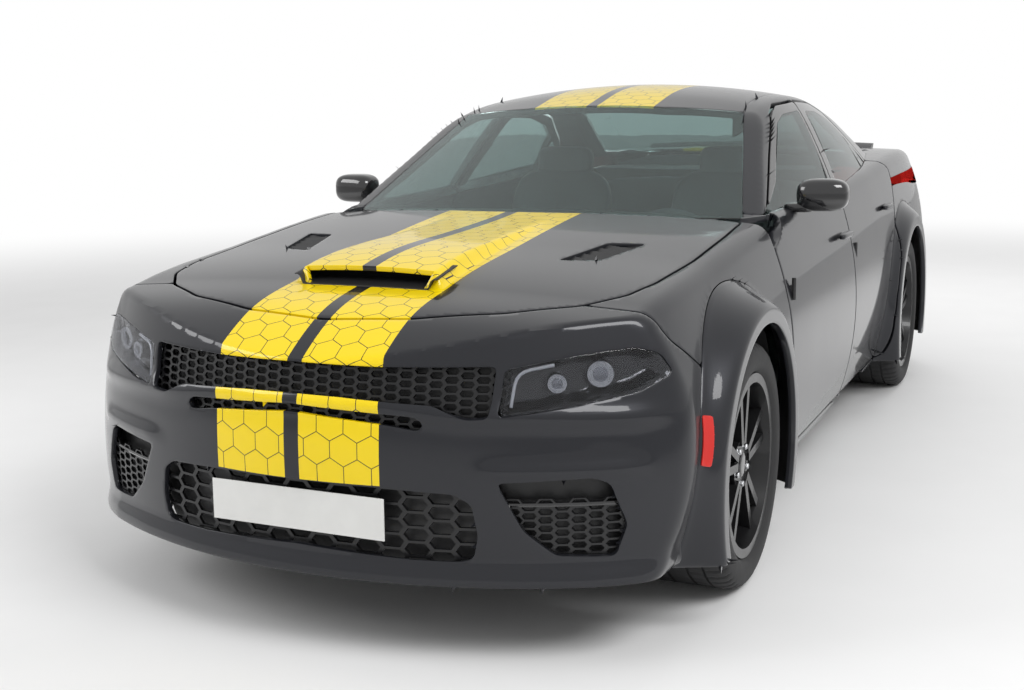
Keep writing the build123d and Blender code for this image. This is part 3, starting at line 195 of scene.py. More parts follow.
# Where the stripes' map passes from the nose to the bonnet
STRIPE_JOIN = 1.85

# Bonnet scoop and vents, seen from above, (x, y) in millimetres
SCOOP_MOUTH = [(2142, 0), (2142, 178), (2119, 206), (2119, 0)]
VENT = [(1767, 426), (1506, 486), (1471, 594), (1719, 537)]
VENT_BED = [(1775, 418), (1500, 480), (1462, 602), (1727, 545)]
SCOOP_X, SCOOP_LEAN, SCOOP_RISE, SCOOP_HALF = 2.143, 0.025, 0.042, 0.228
SLAT_PITCH, SLAT_DEPTH, SLAT_RISE = 0.048, 0.016, 0.013


def along(knots, rows, at):
    """Each column of rows as a smooth function of the knots: between two knots it is the cubic whose slopes
    are those of the parabolas through each knot and its two neighbours."""
    step = np.diff(knots)
    chord = np.diff(rows, axis=0) / step[:, None]
    slope = np.empty_like(rows)
    weight = (step[1:] + step[:-1])[:, None]
    slope[1:-1] = (chord[:-1] * step[1:, None] + chord[1:] * step[:-1, None]) / weight
    slope[0], slope[-1] = 2 * chord[0] - slope[1], 2 * chord[-1] - slope[-2]
    cell = np.clip(np.searchsorted(knots, at) - 1, 0, len(step) - 1)
    width = step[cell][..., None]
    t = np.clip((np.asarray(at)[..., None] - knots[cell][..., None]) / width, 0, 1)
    rise = slope[cell] * t * (1 - t) ** 2 - slope[cell + 1] * t * t * (1 - t)
    return rows[cell] * (1 + 2 * t) * (1 - t) ** 2 + rows[cell + 1] * t * t * (3 - 2 * t) + rise * width


def circle(ay, az, by, bz, cy, cz):
    """Centre and radius of the circle through three points, where two perpendicular bisectors meet."""
    d = 2 * (ay * (bz - cz) + by * (cz - az) + cy * (az - bz))
    a2, b2, c2 = ay * ay + az * az, by * by + bz * bz, cy * cy + cz * cz
    oy = (a2 * (bz - cz) + b2 * (cz - az) + c2 * (az - bz)) / d
    oz = (a2 * (cy - by) + b2 * (ay - cy) + c2 * (by - ay)) / d
    return oy, oz, np.hypot(ay - oy, az - oz)


def root(x):
    """The square root, and nought below nought."""
    return np.sqrt(np.maximum(x, 0))


def soft_min(a, b, k):
    """The lesser of a and b, with the corner between them rounded: less the square of k - |a - b|, where that
    is over nought, divided by 4k."""
    return np.minimum(a, b) - np.maximum(k - np.abs(a - b), 0) ** 2 / (4 * k)


def step_up(x, low, high):
    """Nought below low, one above high and 3t^2 - 2t^3 between."""
    t = np.clip((x - low) / (high - low), 0, 1)
    return t * t * (3 - 2 * t)


def section_half(x, z):
    """Half the width of the cross-section at x and height z: a circle through low, middle and shoulder
    points, a shoulder arc, and a flat crown arc across the car."""
    columns = along(SECTIONS[:, 0], SECTIONS[:, 1:], x)
    z_low, y_low, z_mid, y_mid, z_sh, y_sh, z_top = np.moveaxis(columns, -1, 0)
    oy, oz, r = circle(y_low, z_low, y_mid, z_mid, y_sh, z_sh)
    side = oy + root(r * r - (z - oz) ** 2)
    (my, mz), (ey, ez) = np.array([BEND_MIDDLE, BEND_END]) * SHOULDER_R
    by, bz, br = circle(0.0, 0.0, my, mz, ey, ez)
    bend = y_sh + by + root(br * br - (z - z_sh - bz) ** 2)
    y_t, z_t = y_sh + ey, z_sh + ez
    rise = np.maximum(z_top - z_t, 1e-4)
    crown_r = (y_t * y_t + rise * rise) / (2 * rise)
    crown = root(crown_r ** 2 - (z - z_top + crown_r) ** 2)
    return np.where(z < z_sh, side, np.where(z < z_t, bend, np.where(z < z_top, crown, 0)))


def ends_half(x, z):
    """Half the width of the plan outline at height z: an arc over the nose, a cubic round each front corner,
    and the same over the tail."""
    rows = np.moveaxis(along(ENDS[:, 0], ENDS[:, 1:], z), -1, 0)
    x_nose, x_c, y_c, x_side, x_side_r, y_r, x_r, x_tail = rows
    wide = FLARE_HALF + 0.013

    def end(reach, tip, corner, y_corner, side, lean):
        """One end's outline, with reach outwards: lean is its slope where the cubic meets the arc."""
        sag = tip - corner
        r = (y_corner ** 2 + sag ** 2) / (2 * sag)
        arc = root(r * r - (reach - tip + r) ** 2)
        w = corner - side
        t = np.clip((reach - side) / w, 0, 1)
        bend = wide * (1 + 2 * t) * (1 - t) ** 2 + y_corner * t * t * (3 - 2 * t)
        bend = bend + lean * w * t * t * (1 - t)
        return np.where(reach > tip, 0, np.where(reach > corner, arc, bend))

    front = end(x, x_nose, x_c, y_c, x_side, 1.45)
    rear = end(-x, -x_tail, -x_r, y_r, -x_side_r, 1.6)
    return np.where(x > 0, front, rear)


def body_half(x, z):
    """Half the width of the painted lower body: the section's and the plan's, whichever is less, softly."""
    return soft_min(section_half(x, z), ends_half(x, z), 0.03)


def flared_half(x, z):
    """The same with the wheel-arch flares: within FLARE_R of an axle line the side swells to FLARE_HALF."""
    half = body_half(x, z)
    for axle in (FRONT_X, REAR_X):
        r = np.hypot(x - axle, z - ARCH_Z)
        swell = 1 - step_up(r, ARCH_R + 0.035, FLARE_R + 0.012)
        half = half + np.maximum(FLARE_HALF - half, 0) * swell * (half > 0.5)
    return half


def house_half(x, z):
    """Half the width of the glasshouse at x and height z: arcs over windscreen, side and rear window in plan,
    joined by straight pillars."""
    rows = np.moveaxis(along(GLASSHOUSE[:, 0], GLASSHOUSE[:, 1:], z), -1, 0)
    xs, xse, yse, xa, ya, xm, ym, xc, yc, xle, yle, xl = rows
    oy, ox, r = circle(ya, xa, ym, xm, yc, xc)
    side = oy + root(r * r - (x - ox) ** 2)
    sag = xs - xse
    rs = (yse ** 2 + sag ** 2) / (2 * sag)
    screen = root(rs * rs - (x - xs + rs) ** 2)
    sag = xle - xl
    rl = (yle ** 2 + sag ** 2) / (2 * sag)
    light = root(rl * rl - (xl + rl - x) ** 2)
    pillar_a = ya + (yse - ya) * (x - xa) / (xse - xa)
    pillar_c = yc + (yle - yc) * (x - xc) / (xle - xc)
    half = np.where(x > xa, pillar_a, np.where(x < xc, pillar_c, side))
    half = np.where(x > xse, screen, np.where(x < xle, light, half))
    return np.where((x > xs) | (x < xl), 0, half)


def roof_height(x, y):
    """Height of the roof: its line on the centre plane, less the fall of a flat arc across the car."""
    crown = along(ROOF[:, 0], ROOF[:, 1:], x)[..., 0]
    r = (ROOF_HALF ** 2 + ROOF_DROP ** 2) / (2 * ROOF_DROP)
    return crown - r + root(r * r - y * y)


def in_body(x, y, z):
    """Positive inside the flared lower body."""
    return flared_half(x, z) - np.abs(y)


def in_house(x, y, z):
    """Positive inside the glasshouse, with the corner between wall and roof rounded."""
    return soft_min(house_half(x, z) - np.abs(y), roof_height(x, y) - z, 0.03)


def cast(inside, start, way, reach, rounds=30):
    """Points where rays from start leave a solid: each ray's span is halved, and the half with the wall
    kept."""
    low, high = np.zeros(start.shape[:-1]), np.full(start.shape[:-1], float(reach))
    for _ in range(rounds):
        mid = (low + high) / 2
        at = start + way * mid[..., None]
        held = inside(at[..., 0], at[..., 1], at[..., 2]) > 0
        low, high = np.where(held, mid, low), np.where(held, high, mid)
    return start + way * ((low + high) / 2)[..., None]


def vectors(*parts):
    """Three arrays or numbers as one array of vectors."""
    return np.stack(np.broadcast_arrays(*parts), -1).astype(float)


def deck(x, y):
    """The body's top at (x, y), by upright rays."""
    return cast(in_body, vectors(x, y, FLANK_CORE[1]), vectors(0, 0, 1), 0.7)


def flank(x, a):
    """The body's left side at station x: rays across the car from a line inside the shoulder, at angle a
    up."""
    return cast(in_body, vectors(x, *FLANK_CORE), vectors(0 * a, np.cos(a), np.sin(a)), 0.8)


def side_wall(x, z):
    """The body's left side at (x, z), straight from its half width."""
    return vectors(x, flared_half(x, z), z)


def body_end(core, facing, turn, lift):
    """An end of the body: rays from its core, at a turn in plan and a lift."""
    way = vectors(facing * np.cos(turn) * np.cos(lift), np.sin(turn) * np.cos(lift), np.sin(lift))
    return cast(in_body, vectors(core[0] + 0 * turn, 0, core[1]), way, 1.6)


def nose(turn, lift):
    """The front of the body, by the rays of body_end."""
    return body_end(NOSE_CORE, 1, turn, lift)


def tail(turn, lift):
    """The rear of the body, by the rays of body_end."""
    return body_end(TAIL_CORE, -1, turn, lift)


def house(x, a):
    """The glasshouse at station x: rays across the car from the waist's middle, at angle a from upright."""
    return cast(in_house, vectors(x, *HOUSE_CORE), vectors(0 * a, np.sin(a), np.cos(a)), 1.0)


def outline(points, radius=25.0, steps=5):
    """A closed outline in metres from points in millimetres, each corner a curve that starts radius away:
    the quadratic (1 - t)^2 a + 2t(1 - t) corner + t^2 b."""
    p = np.array(points, float)
    ahead, behind = np.roll(p, -1, 0) - p, np.roll(p, 1, 0) - p
    far, near = np.linalg.norm(ahead, axis=1)[:, None], np.linalg.norm(behind, axis=1)[:, None]
    a = p + behind * np.minimum(radius / near, 0.45)
    b = p + ahead * np.minimum(radius / far, 0.45)
    t = np.linspace(0, 1, steps)[None, :, None]
    curve = (1 - t) ** 2 * a[:, None] + 2 * t * (1 - t) * p[:, None] + t * t * b[:, None]
    return curve.reshape(-1, 2) * MM


def within(u, v, line):
    """Distance from each (u, v) to a closed outline, positive inside: the least distance to its sides, signed
    by how many of them a level ray crosses."""
    a, b = line, np.roll(line, -1, 0)
    pu, pv = u.reshape(-1, 1), v.reshape(-1, 1)
    du, dv = (b - a)[:, 0], (b - a)[:, 1]
    t = np.clip(((pu - a[:, 0]) * du + (pv - a[:, 1]) * dv) / np.maximum(du * du + dv * dv, 1e-12), 0, 1)
    gap = np.hypot(pu - a[:, 0] - t * du, pv - a[:, 1] - t * dv).min(1)
    spans = (a[:, 1] > pv) != (b[:, 1] > pv)
    crossing = a[:, 0] + (pv - a[:, 1]) * du / np.where(dv == 0, 1, dv)
    odd = (spans & (pu < crossing)).sum(1) % 2 == 1
    return np.where(odd, gap, -gap).reshape(u.shape)


def plan_of(points, radius=25.0):
    """A test of points against an outline seen from above, the same on both sides of the car."""
    line = outline(points + [(x, -y) for x, y in reversed(points) if y], radius)
    return lambda p: within(p[..., 0], p[..., 1], line)


def side_of(points, radius=25.0):
    """A test of points against an outline seen from the side."""
    line = outline(points, radius)
    return lambda p: within(p[..., 0], p[..., 2], line)


def front_of(points, radius=14.0):
    """A test of points against an outline seen from the front, the same on both sides of the car."""
    if min(y for y, z in points) == 0:
        points = points + [(-y, z) for y, z in reversed(points) if y]
    line = outline(points, radius)
    return lambda p: within(np.abs(p[..., 1]), p[..., 2], line)


def left_plan_of(points, radius=25.0):
    """A test of points against an outline on the left, seen from above, and its mirror image."""
    line = outline(points, radius)
    return lambda p: within(p[..., 0], np.abs(p[..., 1]), line)


def left_front_of(points, radius=14.0):
    """A test of points against an outline on the left, seen from the front, and its mirror image."""
    line = outline(points, radius)
    return lambda p: within(np.abs(p[..., 1]), p[..., 2], line)


def off_pipe(p):
    """Positive clear of the tailpipes' cut-outs."""
    across, height, radius = TAILPIPE
    return np.hypot(np.abs(p[..., 1]) - across, p[..., 2] - height) - radius


def off_axle(x, radius):
    """A test that is positive outside a circle about an axle line."""
    return lambda p: np.hypot(p[..., 0] - x, p[..., 2] - ARCH_Z) - radius


def inside_of(*tests):
    """Positive where every test is: the least of them."""
    return lambda p: np.minimum.reduce([test(p) for test in tests])


def outside_of(test, gap=0.0):
    """Positive further than gap outside a test's region."""
    return lambda p: -test(p) - gap


def cut_grid(surface, p, q, keep):
    """The part of surface(p, q) where keep is positive, as points, four-sided and three-sided faces. A cell
    that the border crosses is cut where keep, linear along an edge, is nought, and a corner within CUT_NEAR
    of the edge moves there."""
    gp, gq = np.meshgrid(p, q, indexing="ij")
    d = keep(surface(gp, gq)) - SHEET_EDGE
    n, m = d.shape
    index = np.arange(n * m).reshape(n, m)
    at, d = np.stack([gp.ravel(), gq.ravel()], 1), d.ravel()
    moved, extra, edge_refs, count = at.copy(), [], [], n * m
    for a, b in ((index[:-1], index[1:]), (index[:, :-1], index[:, 1:])):
        ref = np.full(a.shape, -1)
        crossed = (d[a] > 0) != (d[b] > 0)
        ia, ib = a[crossed], b[crossed]
        t = d[ia] / (d[ia] - d[ib])
        spot = at[ia] + (at[ib] - at[ia]) * t[:, None]
        held = np.where(d[ia] > 0, ia, ib)
        near = np.where(d[ia] > 0, t, 1 - t) < CUT_NEAR
        moved[held[near]] = spot[near]
        numbers = np.where(near, held, count + np.cumsum(~near) - 1)
        extra.append(spot[~near])
        count += int((~near).sum())
        ref[crossed] = numbers
        edge_refs.append(ref)
    along_p, along_q = edge_refs
    refs = np.stack([index[:-1, :-1], index[1:, :-1], index[1:, 1:], index[:-1, 1:],
                     along_p[:, :-1], along_q[1:], along_p[:, 1:], along_q[:-1]], -1).reshape(-1, 8)
    case = ((d[refs[:, :4]] > 0) * np.array([1, 2, 4, 8])).sum(1)
    quads, tris = refs[case == 15][:, :4], []
    for code in range(1, 15):
        order = []
        for k in range(4):
            here, there = code >> k & 1, code >> (k + 1) % 4 & 1
            order += [k] * here + [4 + k] * (here != there)
        rows = refs[case == code][:, order]
        tris += [rows[:, [0, k, k + 1]] for k in range(1, len(order) - 1)]
    tris = np.concatenate(tris)
    distinct = (tris[:, 0] != tris[:, 1]) & (tris[:, 1] != tris[:, 2]) & (tris[:, 0] != tris[:, 2])
    tris = tris[distinct]
    used, back = np.unique(np.concatenate([quads.ravel(), tris.ravel()]), return_inverse=True)
    spots = np.concatenate([moved] + extra)[used]
    points = surface(spots[:, 0], spots[:, 1])
    quads, tris = back[:quads.size].reshape(-1, 4), back[quads.size:].reshape(-1, 3)
    return points, quads, tris


def corner_normals(points, faces):
    """Unit normals at the points: the sum of the normals of the faces around each, weighted by area."""
    total = np.zeros_like(points)
    for f in faces:
        a = points[f[:, 0]]
        n = np.cross(points[f[:, 1]] - a, points[f[:, 2]] - a)
        if f.shape[1] == 4:
            n = n + np.cross(points[f[:, 2]] - a, points[f[:, 3]] - a)
        for k in range(f.shape[1]):
            np.add.at(total, f[:, k], n)
    return total / np.maximum(np.linalg.norm(total, axis=1, keepdims=True), 1e-12)


def shell(points, quads, tris, thick, soft=SHEET_EDGE):
    """A closed sheet of a thickness under a surface: its faces, the same turned inwards below them, and a rim
    whose upper edge is a quarter round of radius soft. Returns points, faces and which faces are inner."""
    normals = corner_normals(points, (quads, tris))
    edges = np.concatenate([np.stack([f, np.roll(f, -1, 1)], -1).reshape(-1, 2) for f in (quads, tris)])
    n = len(points)
    free = edges[~np.isin(edges[:, 0] * n + edges[:, 1], edges[:, 1] * n + edges[:, 0])]
    run = points[free[:, 1]] - points[free[:, 0]]
    away = np.zeros_like(points)
    for k in (0, 1):
        np.add.at(away, free[:, k], np.cross(run, normals[free[:, k]]))
    away /= np.maximum(np.linalg.norm(away, axis=1, keepdims=True), 1e-12)
    rim = np.unique(free)
    place = np.zeros(n, int)
    place[rim] = np.arange(len(rim))
    rows = [points]
    for out, down in ((0.7, 0.3), (1, 1)):
        rows.append(points[rim] + away[rim] * out * soft - normals[rim] * down * soft)
    inner = points - normals * thick
    inner[rim] = points[rim] + away[rim] * soft - normals[rim] * thick
    rows.append(inner)
    first, second, third = n, n + len(rim), n + 2 * len(rim)
    a, b = free[:, 0], free[:, 1]
    bands = [np.stack([b, a, first + place[a], first + place[b]], 1),
             np.stack([first + place[b], first + place[a], second + place[a], second + place[b]], 1),
             np.stack([second + place[b], second + place[a], third + a, third + b], 1)]
    below = [third + quads[:, ::-1], third + tris[:, ::-1]]
    faces = [quads, tris] + bands + below
    inner_count = len(quads) + len(tris)
    total = sum(len(f) for f in faces)
    return np.concatenate(rows), faces, np.arange(total) >= total - inner_count


def new_piece(name, points, faces, materials, body, slot, inner=None, sharp=38.0):
    """Makes a piece from points and lists of faces, smooth but for edges over the sharp angle, on its
    body."""
    mesh = bpy.data.meshes.new(name)
    mesh.from_pydata(points.tolist(), [], [f for block in faces for f in block.tolist()])
    for item in materials:
        mesh.materials.append(item)
    if inner is not None and len(materials) > 1:
        mesh.polygons.foreach_set("material_index", inner.astype(np.int32))
    mesh.polygons.foreach_set("use_smooth", np.ones(len(mesh.polygons), bool))
    mesh.set_sharp_from_angle(angle=radians(sharp))
    mesh.validate()
    obj = bpy.data.objects.new(name, mesh)
    bpy.context.scene.collection.objects.link(obj)
    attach(obj, body)
    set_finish(obj, slot)
    return obj


def facing_out(points, quads, tris, centre):
    """The faces, turned over if they look towards the centre."""
    a, b, c = (points[quads[:, k]] for k in range(3))
    if (np.cross(b - a, c - a) * (a - centre)).sum() < 0:
        return quads[:, ::-1], tris[:, ::-1]
    return quads, tris


def panel(name, surface, p, q, keep, thick, materials, slot, body, centre=(0, 0, 0.6), soft=SHEET_EDGE):
    """One sheet panel of the shell."""
    points, quads, tris = cut_grid(surface, p, q, keep)
    quads, tris = facing_out(points, quads, tris, np.array(centre))
    points, faces, inner = shell(points, quads, tris, thick, soft)
    return new_piece(name, points, faces, materials, body, slot, inner)


def mirrored_piece(piece, name, body):
    """The other side's copy of a piece, mirrored in its mesh with its faces turned round."""
    mesh = piece.data.copy()
    mesh.name = name
    spots = np.empty(len(mesh.vertices) * 3, np.float32)
    mesh.vertices.foreach_get("co", spots)
    spots = spots.reshape(-1, 3) * (1, -1, 1)
    mesh.vertices.foreach_set("co", spots.ravel().astype(np.float32))
    mesh.flip_normals()
    obj = bpy.data.objects.new(name, mesh)
    bpy.context.scene.collection.objects.link(obj)
    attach(obj, body)
    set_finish(obj, piece["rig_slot"])
    return obj


def spaced(low, high, step):
    """Even values from low to high, about a step apart."""
    return np.linspace(low, high, max(2, int(round(abs(high - low) / step)) + 1))


class Shade:
    """A material being made: its node tree, its shader and short ways to add nodes."""

    def __init__(self, name, **values):
        """Names the material and sets the shader's sockets, with _ for a space."""
        self.item = bpy.data.materials.new(name)
        self.item.use_nodes = True
        self.tree = self.item.node_tree
        self.shader = self.tree.nodes["Principled BSDF"]
        self.place = self.node("ShaderNodeTexCoord").outputs["Object"]
        for socket, value in values.items():
            self.set(socket.replace("_", " "), value)

    def node(self, kind, **fields):
        """A new node with its fields set."""
        made = self.tree.nodes.new(kind)
        for field, value in fields.items():
            setattr(made, field, value)
        return made

    def feed(self, socket, value):
        """Links a node's output to a socket, or sets the socket to a number or colour."""
        if isinstance(value, bpy.types.NodeSocket):
            self.tree.links.new(value, socket)
        elif hasattr(value, "__len__") and len(value) == 3 and socket.type == "RGBA":
            socket.default_value = (*value, 1)
        else:
            socket.default_value = value

    def set(self, socket, value):
        """Feeds one of the shader's own sockets."""
        self.feed(self.shader.inputs[socket], value)

    def math(self, operation, *values):
        """The output of a Math node."""
        made = self.node("ShaderNodeMath", operation=operation)
        for socket, value in zip(made.inputs, values):
            self.feed(socket, value)
        return made.outputs[0]

    def noise(self, scale, detail=3.0, place=None, stretch=None):
        """Noise from 0 to 1, with so many lumps to the metre."""
        made = self.node("ShaderNodeTexNoise")
        self.feed(made.inputs["Vector"], self.place if place is None else place)
        if stretch:
            moved = self.node("ShaderNodeMapping")
            self.feed(moved.inputs["Vector"], self.place if place is None else place)
            moved.inputs["Scale"].default_value = stretch
            self.feed(made.inputs["Vector"], moved.outputs[0])
        made.inputs["Scale"].default_value = scale
        made.inputs["Detail"].default_value = detail
        return made.outputs["Fac"]

    def mix(self, amount, a, b):
        """A colour between a and b."""
        made = self.node("ShaderNodeMix", data_type="RGBA")
        self.feed(made.inputs["Factor"], amount)
        self.feed(made.inputs["A"], a)
        self.feed(made.inputs["B"], b)
        return made.outputs["Result"]

    def span(self, value, low, high):
        """A value from 0 to 1 carried to low to high."""
        made = self.node("ShaderNodeMapRange")
        self.feed(made.inputs["Value"], value)
        made.inputs["To Min"].default_value = low
        made.inputs["To Max"].default_value = high
        return made.outputs[0]

    def bump(self, height, depth, strength=1.0, socket="Normal"):
        """Bumps of a depth in metres under the light."""
        made = self.node("ShaderNodeBump")
        self.feed(made.inputs["Height"], height)
        made.inputs["Distance"].default_value = depth
        made.inputs["Strength"].default_value = strength
        self.set(socket, made.outputs[0])


def hex_net(shade, u, v, size, line):
    """One on the lines of a net of hexagons of a size across, nought in them. Of the two lattices of centres,
    the nearer is taken, and the distance to a side is the greater of |a| and |a| / 2 + |b| sqrt(3) / 2."""
    tall = size * sqrt(3)

    def offset(value, period, shift):
        """How far a value is from the middle of its cell."""
        moved = shade.math("ADD", value, shift)
        return shade.math("SUBTRACT", shade.math("FLOORED_MODULO", moved, period), period / 2)

    reaches = []
    for shift_u, shift_v in ((0.0, 0.0), (size / 2, tall / 2)):
        a = shade.math("ABSOLUTE", offset(u, size, shift_u))
        b = shade.math("ABSOLUTE", offset(v, tall, shift_v))
        slant = shade.math("ADD", shade.math("MULTIPLY", a, 0.5), shade.math("MULTIPLY", b, sqrt(3) / 2))
        reaches.append(shade.math("MAXIMUM", a, slant))
    reach = shade.math("MINIMUM", *reaches)
    return shade.math("GREATER_THAN", reach, size / 2 - line / 2)


def car_paint(name, striped):
    """Dark metallic paint under clear lacquer, with twin yellow stripes and their net of hexagons."""
    look = bpy.context.scene.muscle_car
    shade = Shade(name, Metallic=0.4, Coat_Weight=0.9, Coat_Roughness=0.02, Coat_IOR=1.4,
                  Specular_IOR_Level=0.2)
    flake = shade.noise(1400, 2.0)
    cloud = shade.noise(2.2, 2.0)
    deep = tuple(c * 0.72 for c in look.body_colour)
    colour = shade.mix(shade.span(flake, 0.2, 0.8), deep, tuple(look.body_colour))
    roughness = shade.span(cloud, 0.30, 0.36)
    if striped:
        uv = shade.node("ShaderNodeUVMap", uv_map="stripes").outputs[0]
        parts = shade.node("ShaderNodeSeparateXYZ")
        shade.feed(parts.inputs[0], uv)
        across, run = parts.outputs[0], parts.outputs[1]
        off = shade.math("ABSOLUTE", across)
        height = shade.node("ShaderNodeSeparateXYZ")
        shade.feed(height.inputs[0], shade.place)
        band = shade.math("MULTIPLY", shade.math("LESS_THAN", off, look.stripe_half),
                          shade.math("GREATER_THAN", off, look.stripe_gap))
        band = shade.math("MULTIPLY", band, shade.math("GREATER_THAN", height.outputs[2], look.stripe_low))
        net = hex_net(shade, across, run, look.hexagon, look.hexagon_line)
        yellow = shade.mix(shade.span(cloud, 0, 0.35), tuple(look.stripe_colour),
                           tuple(c * 0.85 for c in look.stripe_colour))
        film = shade.mix(net, yellow, (0.02, 0.018, 0.01))
        colour = shade.mix(band, colour, film)
        shade.set("Metallic", shade.span(band, 0.4, 0.0))
        roughness = shade.math("ADD", roughness, shade.math("MULTIPLY", band, 0.08))
    shade.set("Base Color", colour)
    shade.set("Roughness", roughness)
    shade.bump(shade.noise(260, 1.0), 0.00002, socket="Coat Normal")
    return shade.item


def plastic(name, colour, roughness, grain=900.0, depth=0.0001, coat=0.0, metallic=0.0, specular=0.5):
    """Moulded plastic or coated metal: a colour that drifts a little, fine grain and uneven sheen."""
    shade = Shade(name, Metallic=metallic, Coat_Weight=coat, Coat_Roughness=0.04,
                  Specular_IOR_Level=specular)
    drift = shade.noise(14, 4.0)
    shade.set("Base Color", shade.mix(shade.span(drift, 0.1, 0.9), tuple(c * 0.82 for c in colour), colour))
    shade.set("Roughness", shade.span(shade.noise(40, 4.0), roughness - 0.06, roughness + 0.06))
    shade.bump(shade.noise(grain, 2.0), depth, 0.5)
    return shade.item


def metal(name, colour, roughness, stretch=(1, 1, 1)):
    """Bare metal with fine machining marks."""
    shade = Shade(name, Metallic=1.0)
    marks = shade.noise(220, 3.0, stretch=stretch)
    shade.set("Base Color", shade.mix(marks, tuple(c * 0.7 for c in colour), colour))
    shade.set("Roughness", shade.span(shade.noise(30), roughness - 0.08, roughness + 0.12))
    shade.bump(marks, 0.00008, 0.4)
    return shade.item


def clear(name, tint, roughness=0.0, ior=1.45):
    """Tinted glass or clear plastic with the faintest waviness."""
    shade = Shade(name, Transmission_Weight=1.0, IOR=ior, Base_Color=tint, Roughness=roughness)
    shade.bump(shade.noise(5, 1.0), 0.0002, 0.2)
    return shade.item


def hide(name, colour, roughness=0.5):
    """Leather or moulded trim: pebbled grain from cells, with worn sheen."""
    shade = Shade(name, Specular_IOR_Level=0.4)
    cells = shade.node("ShaderNodeTexVoronoi", feature="DISTANCE_TO_EDGE")
    shade.feed(cells.inputs["Vector"], shade.place)
    cells.inputs["Scale"].default_value = 420
    drift = shade.noise(9, 4.0)
    shade.set("Base Color", shade.mix(drift, tuple(c * 0.75 for c in colour), colour))
    shade.set("Roughness", shade.span(drift, roughness - 0.1, roughness + 0.12))
    shade.bump(cells.outputs["Distance"], 0.0004, 0.5)
    return shade.item


FINISHES = {}


def make_finishes():
    """All materials, kept by name."""
    look = bpy.context.scene.muscle_car
    FINISHES.update(
        paint=car_paint("granite_paint", False),
        striped=car_paint("striped_paint", True),
        gloss=plastic("gloss_black", (0.012, 0.012, 0.013), 0.12, 300, 0.00001, coat=1.0),
        satin=plastic("satin_black", (0.016, 0.016, 0.017), 0.42),
        border=plastic("screen_black", (0.005, 0.005, 0.005), 0.55, specular=0.12),
        grille=plastic("grille_black", (0.010, 0.010, 0.011), 0.33),
        rim=plastic("wheel_black", (0.013, 0.013, 0.014), 0.30, 500, 0.00004, coat=0.35, metallic=0.3),
        rubber=plastic("tyre_rubber", (0.022, 0.022, 0.023), 0.72, 700, 0.0003),
        iron=metal("cast_iron", (0.28, 0.27, 0.26), 0.38),
        steel=plastic("painted_steel", (0.035, 0.035, 0.036), 0.5, 120, 0.0004, metallic=0.4),
        glass=clear("teal_glass", tuple(look.glass_tint)),
        dark_glass=clear("dark_glass", tuple(c * 0.45 for c in look.glass_tint)),
        lens=clear("smoked_lens", (0.62, 0.63, 0.66), ior=1.3),
        strip=plastic("light_strip", (0.86, 0.87, 0.90), 0.15, 300, 0.00002, coat=1.0),
        red_lens=clear("red_lens", (0.55, 0.02, 0.015)),
        red=plastic("marker_red", (0.60, 0.012, 0.006), 0.3, 400, 0.0002, coat=0.4),
        silver=metal("reflector", (0.62, 0.63, 0.65), 0.14),
        trim=hide("cabin_trim", (0.030, 0.030, 0.032)),
        leather=hide("seat_leather", (0.040, 0.040, 0.043), 0.45),
        carpet=plastic("floor_carpet", (0.02, 0.02, 0.021), 0.9, 1500, 0.002),
        plate=plastic("plate_white", (0.78, 0.78, 0.76), 0.35, 200, 0.00004),
        engine=metal("cast_alloy", (0.42, 0.42, 0.41), 0.45),
        pipe=metal("exhaust_steel", (0.46, 0.44, 0.42), 0.3, (0.2, 1, 1)),
    )


# Finish of each node that keeps its own shape. Columns: start of the node's name, finish
NODE_FINISH = [
    ("hood", "striped"), ("trunk_lid", "striped"), ("front_bumper", "striped"), ("roof_panel", "striped"),
    ("fender", "paint"), ("door", "paint"), ("body_side", "paint"), ("rear_bumper", "paint"),
    ("mirror", "gloss"), ("grilles", "grille"), ("headlamp", "lens"), ("tail_lamp", "red_lens"),
    ("lid_lamp", "red_lens"), ("windscreen", "glass"), ("rear_window", "dark_glass"),
    ("glass", "dark_glass"), ("wheel_liners", "satin"), ("wheel", "rim"), ("tyre", "rubber"),
    ("knuckle", "iron"), ("hub_carriers", "iron"), ("front_subframe", "steel"), ("rear_subframe", "steel"),
    ("underbody", "steel"), ("engine", "engine"), ("exhaust", "pipe"), ("drive_shaft", "steel"),
    ("hinges", "steel"), ("cowl", "satin"), ("rear_shelf", "trim"), ("dashboard", "trim"),
    ("steering", "leather"), ("front_seats", "leather"), ("rear_bench", "leather"),
    ("number_plates", "plate"),
]


def dress_nodes():
    """Gives every node of the construction its finish."""
    for name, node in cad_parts.items():
        finish = next(finish for start, finish in NODE_FINISH if name.startswith(start))
        node.data.materials.clear()
        node.data.materials.append(FINISHES[finish])


def lay_stripes(piece):
    """Gives a piece the map that its stripes follow: y across, and along the car the length of the centre
    line from under the nose up to STRIPE_JOIN, then x back from there."""
    mesh = piece.data
    spots = np.empty(len(mesh.vertices) * 3, np.float32)
    mesh.vertices.foreach_get("co", spots)
    spots = spots.reshape(-1, 3).astype(float)
    lifts = np.linspace(-0.45, 1.25, 240)
    line = nose(0 * lifts, lifts)
    run = np.concatenate([[0], np.cumsum(np.linalg.norm(np.diff(line, axis=0), axis=1))])
    lift = np.arctan2(spots[:, 2] - NOSE_CORE[1], spots[:, 0] - NOSE_CORE[0])
    join = np.interp(STRIPE_JOIN, line[::-1, 0][:180], run[::-1][:180])
    far = np.where(spots[:, 0] > STRIPE_JOIN, np.interp(lift, lifts, run), join + STRIPE_JOIN - spots[:, 0])
    corner = np.empty(len(mesh.loops), np.int32)
    mesh.loops.foreach_get("vertex_index", corner)
    layer = mesh.uv_layers.new(name="stripes")
    layer.data.foreach_set("uv", np.stack([spots[:, 1], far], 1)[corner].ravel().astype(np.float32))


